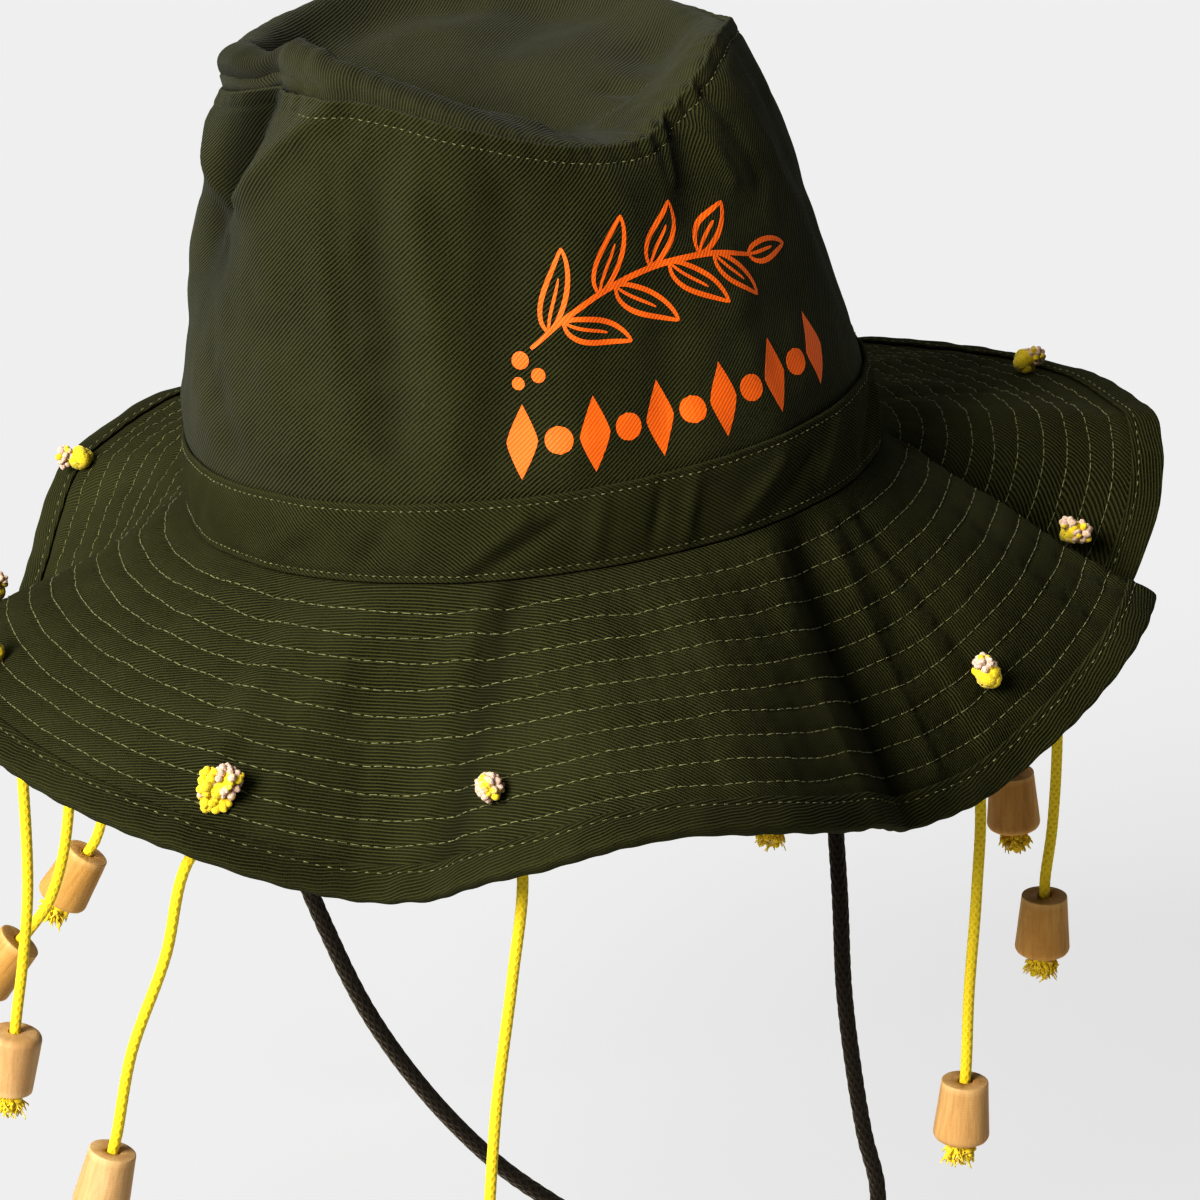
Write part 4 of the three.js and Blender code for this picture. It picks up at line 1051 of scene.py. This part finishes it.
# Creases of the band: azimuth and mm up, twice, then out and how wide (mm).
bandCreases = [
    (-34, 2, -22, 15, 0.9, 2.2), (-30, 1, -17, 13, -0.8, 2.0), (-12, 3, -9, 18, 0.6, 2.4),
    (-2, 4, 1, 19, -0.7, 1.8), (3, 2, 7, 18, 0.7, 2.0), (14, 4, 24, 14, 0.8, 2.4), (20, 3, 31, 12, -0.9, 2.2),
    (33, 5, 40, 16, 0.8, 2.6), (48, 4, 60, 15, -1.0, 2.6), (58, 4, 66, 17, 0.9, 2.4), (72, 2, 80, 18, -1.1, 2.6),
    (80, 2, 86, 19, 1.2, 2.4), (88, 1, 92, 19, -1.3, 2.4), (-50, 4, -44, 16, -0.6, 2.6), (-70, 3, -60, 14, 0.6, 3),
    (-95, 3, -88, 16, -0.7, 3), (120, 3, 128, 16, 0.8, 3), (150, 4, 160, 15, -0.8, 3), (-140, 4, -130, 16, 0.8, 3),
    (-170, 3, -160, 14, 0.7, 3),
]


bandStitchRows = (1.7, 18.2)  # mm up the band
bandRound = math.radians(95)  # mm of band for each degree


def bandSurface(azimuth, up, lift=0.0):
    azimuth, up = np.broadcast_arrays(np.asarray(azimuth, float), np.asarray(up, float))
    foot = hat["crownWall"]
    bandTop = crownOut(azimuth, hat["bandHeight"] / seamHeight(azimuth), creases=False)
    out = foot + (bandTop - foot) * up / hat["bandHeight"] + hat["gap"] + hat["bandWall"]
    middle = np.sin(np.clip(up / hat["bandHeight"], 0, 1) * math.pi)
    crease = foldSum(bandCreases, azimuth * bandRound, up, bandRound, 1)
    relief = 0.55 * middle + 1.35 * crease * (0.25 + 0.75 * middle) + swell(ovalPlace(azimuth, out, up), "band")
    for stitched in bandStitchRows:
        relief = relief - 0.28 * hill(up, stitched, 0.8)
    return ovalPlace(azimuth, out + relief + lift, up)


def makeBand():
    ups = np.concatenate([[0.12], np.linspace(0.7, 19.2, 25), [19.75]])
    section, uvUp = [bandSurface(azimuths, up) for up in ups], list(ups)
    wearAndShade = [np.full(columns, 0.6 * hill(min(up, hat["bandHeight"] - up), 0, 0.9)) for up in ups]
    # over the top edge, down the inside and round the foot: how far in, mm up, mm of cloth and wear
    for across, up, step, worn in (
            (0.3, 19.98, 0.4, 0.5), (0.75, 19.98, 0.4, 0.5), (1.1, 19.6, 0.4, 0.5), (1.2, 15, 5, 0), (1.2, 10, 5, 0),
            (1.2, 5, 5, 0), (1.2, 0.5, 5, 0), (0.95, 0.05, 0.4, 0.3), (0.4, 0.02, 0.4, 0.3)):
        section.append(bandSurface(azimuths, up, lift=-min(across, hat["bandWall"])))
        uvUp.append(uvUp[-1] + step)
        wearAndShade.append(np.full(columns, worn))
    ringCloth("hatBand", section, wallUv(uvUp + [uvUp[-1] + 1], clothRound["band"], columns), wearAndShade,
              bandTwill, "band_cloth", "hat_band")


makeCrownSide()
makeCrownTip()
makeBand()
print("crown made")

# brim
brimColumns = 640
brimAzimuths = np.arange(brimColumns) * 360 / brimColumns - 180


brimCut = (88, 96)  # mm, half width and half length of the brim's opening as it is cut


def planUv(along):
    # the brim is cut flat, so its weave runs straight across it
    angle = np.radians(np.append(brimAzimuths, 180.0))
    return np.stack([(brimCut[0] + along) * np.sin(angle), -(brimCut[1] + along) * np.cos(angle)], axis=-1) * 0.001


# azimuth at the band, azimuth at the edge, half width in degrees, and how strongly painted shade darkens the cloth in
# that valley
paintedValleyShade = [(23.5, 21.5, 3.4, 1.0), (-25.5, -34, 2.6, 0.7), (71.5, 67.5, 3.0, 0.8), (52, 50, 7, 0.5)]


def makeBrim():
    long, gap, wall = hat["brimLength"], hat["gap"], hat["brimWall"]
    reach = long * smoothTable(brimReach, brimAzimuths)
    section, uvs, wearAndShade = [], [], []

    def addRow(points, along, worn=0.0):
        section.append(points)
        uvs.append(planUv(along))
        wearAndShade.append(np.zeros(brimColumns) + worn)

    addRow(ovalPlace(brimAzimuths, 0.15, -gap), -3)
    addRow(ovalPlace(brimAzimuths, lipWidth * 0.5, -gap), -1.5)
    for share in np.concatenate([[0.002], np.linspace(0.012, 0.9, 76), [0.93, 0.965, 0.995]]):
        # painted shade along the brim's valley folds
        valleyShade = sum(dark * hill(brimAzimuths, start + (end - start) * share, wide)
                        for start, end, wide, dark in paintedValleyShade)
        addRow(brimPlace(brimAzimuths, reach * share), share * long, -valleyShade)
    addRow(brimPlace(brimAzimuths, reach, wall / 2), long + 0.6)
    for share in np.concatenate([[0.995, 0.94, 0.9], np.linspace(0.885, 0.06, 36)]):
        addRow(brimPlace(brimAzimuths, reach * share, wall, quilt=-1.0), share * long)
    corner = lipWidth - wall * np.tan(np.radians(smoothTable(brimDrop, brimAzimuths)) / 2)
    addRow(ovalPlace(brimAzimuths, corner, -gap - wall), 0)
    addRow(ovalPlace(brimAzimuths, 0.15, -gap - wall), -3)
    ringCloth("quiltedBrim", section, uvs + uvs[:1], wearAndShade, brimTwill, "brim_cloth", "brim")


def bindingPlace(azimuth, fromStart, depth):
    reach = hat["brimLength"] * smoothTable(brimReach, azimuth)
    gather = 0.16 * puckers(azimuth, gathers["binding"], 1.7) * smoothStep(fromStart, 0.5, 4)
    return brimPlace(azimuth, reach - hat["bindingWidth"] + fromStart + gather, depth, quilt=0.0)


def makeBinding():
    gap, wall, thick, width = hat["gap"], hat["bindingWall"], hat["brimWall"], hat["bindingWidth"]
    top, under = -gap - wall, thick + gap + wall
    outer = [(0.1, -gap - 0.5), (0.25, top + 0.05), (0.8, top - 0.12), (1.5, top - 0.02), (2.1, top + 0.16),
             (2.8, top + 0.02), (4.0, top - 0.16), (5.4, top - 0.2), (6.7, top - 0.12), (7.7, top)]
    middle, radius = thick / 2, (under - top) / 2
    for turn in range(15, 180, 15):
        angle = math.radians(turn)
        outer.append((width + gap + 0.75 * math.sin(angle), middle - radius * math.cos(angle)))
    outer += [(7.7, under), (6.2, under + 0.15), (4.2, under + 0.18), (2.4, under), (1.6, under - 0.16),
              (0.8, under + 0.08), (0.25, under - 0.05), (0.1, thick + gap + 0.5)]
    inner = [(0.1, thick + gap), (4.0, thick + gap), (width + gap - 0.35, thick + gap - 0.05),
             (width + gap, thick + 0.1), (width + gap, -0.1), (width + gap - 0.35, -gap + 0.05), (4.0, -gap),
             (0.1, -gap)]
    loop = outer + inner
    section = [bindingPlace(brimAzimuths, *place) for place in loop]
    gone = np.concatenate([[0], np.cumsum(np.linalg.norm(np.diff(loop, axis=0), axis=1))])
    wearAndShade = [np.full(brimColumns, 0.7 * hill(fromStart, 8.6, 0.9) + 0.5 * hill(fromStart, 0.2, 0.4))
            for fromStart, _ in loop]
    ringCloth("brimBinding", section, wallUv(np.append(gone, 0), clothRound["binding"], brimColumns), wearAndShade,
              bindingTwill, "binding_cloth", "brim_binding")


makeBrim()
makeBinding()
print("brim made")

# stitching
stitch = {
    "dash": 2.65, "pitch": 3.05, "thick": 0.3, "bandDash": 1.05, "bandPitch": 2.3, "wander": 0.5,
    "sink": 0.28, "rise": 0.2,  # mm, how deep the ends go in and how high a stitch stands
}


def stitchRow(dice, surface, dash, pitch, sides=5, hidden=None):
    # surface(azimuth, lift) gives places in mm in the hat's frame; hidden is a stretch that lies in a fold
    fine = np.linspace(-180, 180, 1441)
    line = surface(fine, np.zeros_like(fine))
    gone = np.concatenate([[0], np.cumsum(np.linalg.norm(np.diff(line, axis=0), axis=1))])
    count = int(round(gone[-1] / pitch))
    starts = np.arange(count) * gone[-1] / count + np.array([dice.uniform(-0.12, 0.12) for _ in range(count)])
    lengths = np.array([dash + dice.uniform(-0.18, 0.18) for _ in range(count)])
    at = starts[:, None] + lengths[:, None] * np.array([0, 0.16, 0.5, 0.84, 1.0])
    azimuth = np.interp(at % gone[-1], gone, fine)
    if hidden:
        azimuth = azimuth[(azimuth[:, 2] < hidden[0]) | (azimuth[:, 2] > hidden[1])]
    sink, rise = stitch["sink"], stitch["rise"]
    lift = np.broadcast_to([-sink, rise * 0.7, rise, rise * 0.7, -sink], azimuth.shape)
    paths = surface(azimuth, lift)
    radii = stitch["thick"] / 2 * np.array([0.75, 1.0, 1.0, 1.0, 0.75])
    return tubeMesh(paths, surface(azimuth, lift + 1.0) - paths, radii, sides, flat=0.8)


def brimRow(k, under=False):
    # the sewn rows wander a little, as a hand guides them
    def surface(azimuth, lift):
        angle = np.radians(azimuth)
        wander = 0.5 * np.sin(7 * angle + 1.7 * k) + 0.3 * np.sin(17 * angle + 2.9 * k) + 0.2 * np.sin(37 * angle + k)
        along = (quilting["first"] + k * quilting["step"] + stitch["wander"] * wander) * smoothTable(brimReach, azimuth)
        if under:
            return brimPlace(azimuth, along, hat["brimWall"] + lift, quilt=-1.0)
        return brimPlace(azimuth, along, -lift)
    return surface


def bandRow(up):
    return lambda azimuth, lift: bandSurface(azimuth, up, lift)


def makeStitches():
    dice, long, short = random.Random(41), (stitch["dash"], stitch["pitch"]), (stitch["bandDash"], stitch["bandPitch"])
    edge, layers = (stitch["bandDash"] + 0.3, stitch["pitch"]), hat["gap"] + hat["bindingWall"]
    count = range(quilting["rows"])
    joinedPiece("brimStitching", [stitchRow(dice, brimRow(k), *long) for k in count], thread, "brim_cloth")
    joinedPiece("brimStitchingUnder", [stitchRow(dice, brimRow(k, True), *long, sides=3) for k in count],
                thread, "brim_cloth")
    joinedPiece("bindingStitching", [
        stitchRow(dice, lambda azimuth, lift: bindingPlace(azimuth, 2.1, 0.16 - layers - lift), *edge),
        stitchRow(dice, lambda azimuth, lift: bindingPlace(
            azimuth, 1.6, hat["brimWall"] + layers - 0.16 + lift), *edge, sides=4),
    ], thread, "binding_cloth")
    joinedPiece("bandStitching", [stitchRow(dice, bandRow(up), *short) for up in bandStitchRows], thread, "band_cloth")
    joinedPiece("seamStitching", [
        stitchRow(dice, lambda azimuth, lift: crownSurface(azimuth, seamHeight(azimuth) - seamStitch["below"], lift),
                  *short, hidden=seamStitch["hidden"]),
    ], thread, "crown_cloth")


makeStitches()
print("stitching made")

# print on the front
motif = {
    "line": 1.5,  # mm wide
    "lift": 0.07,  # mm above the cloth
    "middle": 6.0,  # azimuth of the sprig's middle
    "height": 59.0,  # mm above the brim seam
}
printRound = math.radians(83)  # mm of cloth for each degree


def inkPlace(flat, lift):
    return crownSurface(motif["middle"] + flat[..., 0] / printRound, flat[..., 1], lift)


def inkStrip(left, right):
    # a thin closed shape between two edge lines, given as (across, up) in mm on the cloth
    lanes = 4 if np.linalg.norm(left - right, axis=1).max() > 3 else 2
    shares = np.linspace(0, 1, lanes + 1)[None, :, None]
    flat = left[:, None] * (1 - shares) + right[:, None] * shares
    rows, wide = flat.shape[:2]
    points = np.concatenate([inkPlace(flat, lift).reshape(-1, 3) for lift in (motif["lift"], -0.2)])
    upper, total = gridQuads(rows, wide, loopColumns=False), rows * wide
    ids = np.arange(total).reshape(rows, wide)
    ids = np.concatenate([ids[:, 0], ids[-1, 1:], ids[-2::-1, -1], ids[0, -2:0:-1]])
    nextIds = np.roll(ids, -1)
    faces = np.concatenate([upper, upper[:, ::-1] + total,
                            np.stack([ids, nextIds, nextIds + total, ids + total], axis=-1)])
    plane = np.concatenate([flat.reshape(-1, 2)] * 2) * 0.001
    return turnedOut(points, [faces], [plane[faces]])


def inkLine(points, width, taper=0.35):
    path = smoothRoute(np.column_stack([points, np.zeros(len(points))]), 1.0)[0][:, :2]
    way = unit(np.gradient(path, axis=0))
    half = width / 2 * (taper + (1 - taper) * np.sin(np.linspace(0, 1, len(path)) * math.pi) ** 0.35)
    across = np.stack([-way[:, 1], way[:, 0]], axis=-1) * half[:, None]
    return inkStrip(path + across, path - across)


def leafLines(x, y, turn, length, width, bend):
    # one long curved leaf as two edges and a middle vein
    share = np.linspace(0, 1, 9)
    middle = np.stack([share * length, bend * np.sin(share * math.pi * 0.5) ** 2 * length * 0.3], axis=-1)
    half = np.stack([np.zeros_like(share), width / 2 * np.sin(share ** 0.8 * math.pi) ** 0.85], axis=-1)
    c, s = math.cos(math.radians(turn)), math.sin(math.radians(turn))
    return [line @ np.array([[c, s], [-s, c]]) + np.array([x, y + motif["height"]])
            for line in (middle + half, middle - half, middle[:7] * 0.86)]


# the sprig: a bowed stem, long leaves to both sides (place, turn, length, width and bend), and round buds (place
# and radius), in mm from its middle
sprig = {
    "stem": [(-34, -4), (-22, 3), (-7, 7.5), (10, 9), (25, 7.5), (37, 4)],
    "leaves": [
        (-29, -1, 82, 20, 6.2, -0.7), (-25, 1.3, -38, 19, 6.0, 0.8), (-14, 5.6, 70, 20, 6.6, -0.8),
        (-9, 7, -48, 20, 6.4, 0.7), (3, 8.8, 62, 18, 6.4, -0.9), (9, 9, -56, 19, 6.2, 0.8),
        (19, 8.6, 46, 17, 5.8, -0.7), (24, 7.8, -66, 16, 5.6, 0.8), (36, 4.4, -14, 15, 5.0, 0.5),
    ],
    "buds": [(-37, -6.5, 2.2), (-33, -10.5, 1.8), (-38.2, -12, 1.6)],
}
lozenges = {"count": 11, "left": -39, "across": 88, "height": 33.0, "big": (9.0, 3.9), "dot": 3.4}


def makePrint():
    parts = [inkLine([(x, y + motif["height"]) for x, y in sprig["stem"]], motif["line"], 0.5)]
    for leaf in sprig["leaves"]:
        parts += [inkLine(line, motif["line"] * share) for line, share in zip(leafLines(*leaf), (0.9, 0.9, 0.6))]
    angle = np.linspace(0, math.pi, 9)
    for x, y, radius in sprig["buds"]:
        across, rise = x + radius * np.cos(angle), radius * np.sin(angle)
        parts.append(inkStrip(*(np.stack([across, y + motif["height"] + sign * rise], axis=-1) for sign in (1, -1))))
    # the row: solid lozenges and dots along a line that bows down
    steps = np.linspace(-1, 1, 13)
    for k in range(lozenges["count"]):
        share = k / (lozenges["count"] - 1)
        x = lozenges["left"] + lozenges["across"] * share
        y = lozenges["height"] - 1.5 * math.sin(share * math.pi) + 2.5 * share
        if k % 2 == 0:
            tall, wide = lozenges["big"]
            half, lean = wide * (1 - np.abs(steps) ** 1.25), 0.12
        else:
            tall = lozenges["dot"]
            half, lean = tall * np.sqrt(1 - steps ** 2), 0.0
        half, rise = np.maximum(half, 0.02), steps * tall
        parts.append(inkStrip(*(np.stack([x + sign * half + lean * rise, y + rise], axis=-1) for sign in (-1, 1))))
    joinedPiece("frontPrint", parts, ink, "crown_cloth", smooth=False)


makePrint()
print("print made")

# floor and light
studio = {
    "floorHeight": -0.2532, "floorColour": (0.1, 0.1, 0.1, 1), "floorGlow": 0.51, "world": 0.04,
    "contrast": "High Contrast",
    # strength, azimuth, elevation and softness in degrees
    "lights": [("keyLight", 4.7, -66, 30, 30), ("topLight", 0.8, -150, 55, 50),
               ("backLight", 0.5, 125, 25, 60)],
}


def addStudio(settings):
    bpy.ops.mesh.primitive_plane_add(size=30, location=(0, 0, settings["floorHeight"]))
    floor = bpy.context.object
    floor.name = "floor"
    material = bpy.data.materials.new("pale floor")
    material.use_nodes = True
    shader = material.node_tree.nodes["Principled BSDF"]
    shader.inputs["Base Color"].default_value = settings["floorColour"]
    shader.inputs["Roughness"].default_value = 0.9
    shader.inputs["Specular IOR Level"].default_value = 0.0
    shader.inputs["Emission Color"].default_value = (1, 1, 1, 1)
    shader.inputs["Emission Strength"].default_value = settings["floorGlow"]
    floor.data.materials.append(material)
    for name, strength, turn, rise, softness in settings["lights"]:
        sun = bpy.data.lights.new(name, "SUN")
        sun.energy = strength
        sun.angle = math.radians(softness)
        lamp = bpy.data.objects.new(name, sun)
        lamp.rotation_euler = wayTo(turn, rise).to_track_quat("Z", "Y").to_euler()
        scene.collection.objects.link(lamp)
    world = bpy.data.worlds.new("studio")
    world.use_nodes = True
    world.node_tree.nodes["Background"].inputs[0].default_value = (1, 1, 1, 1)
    world.node_tree.nodes["Background"].inputs[1].default_value = settings["world"]
    scene.world = world
    scene.view_settings.view_transform = "Standard"
    scene.view_settings.look = settings["contrast"]


addStudio(studio)

print("scene complete")
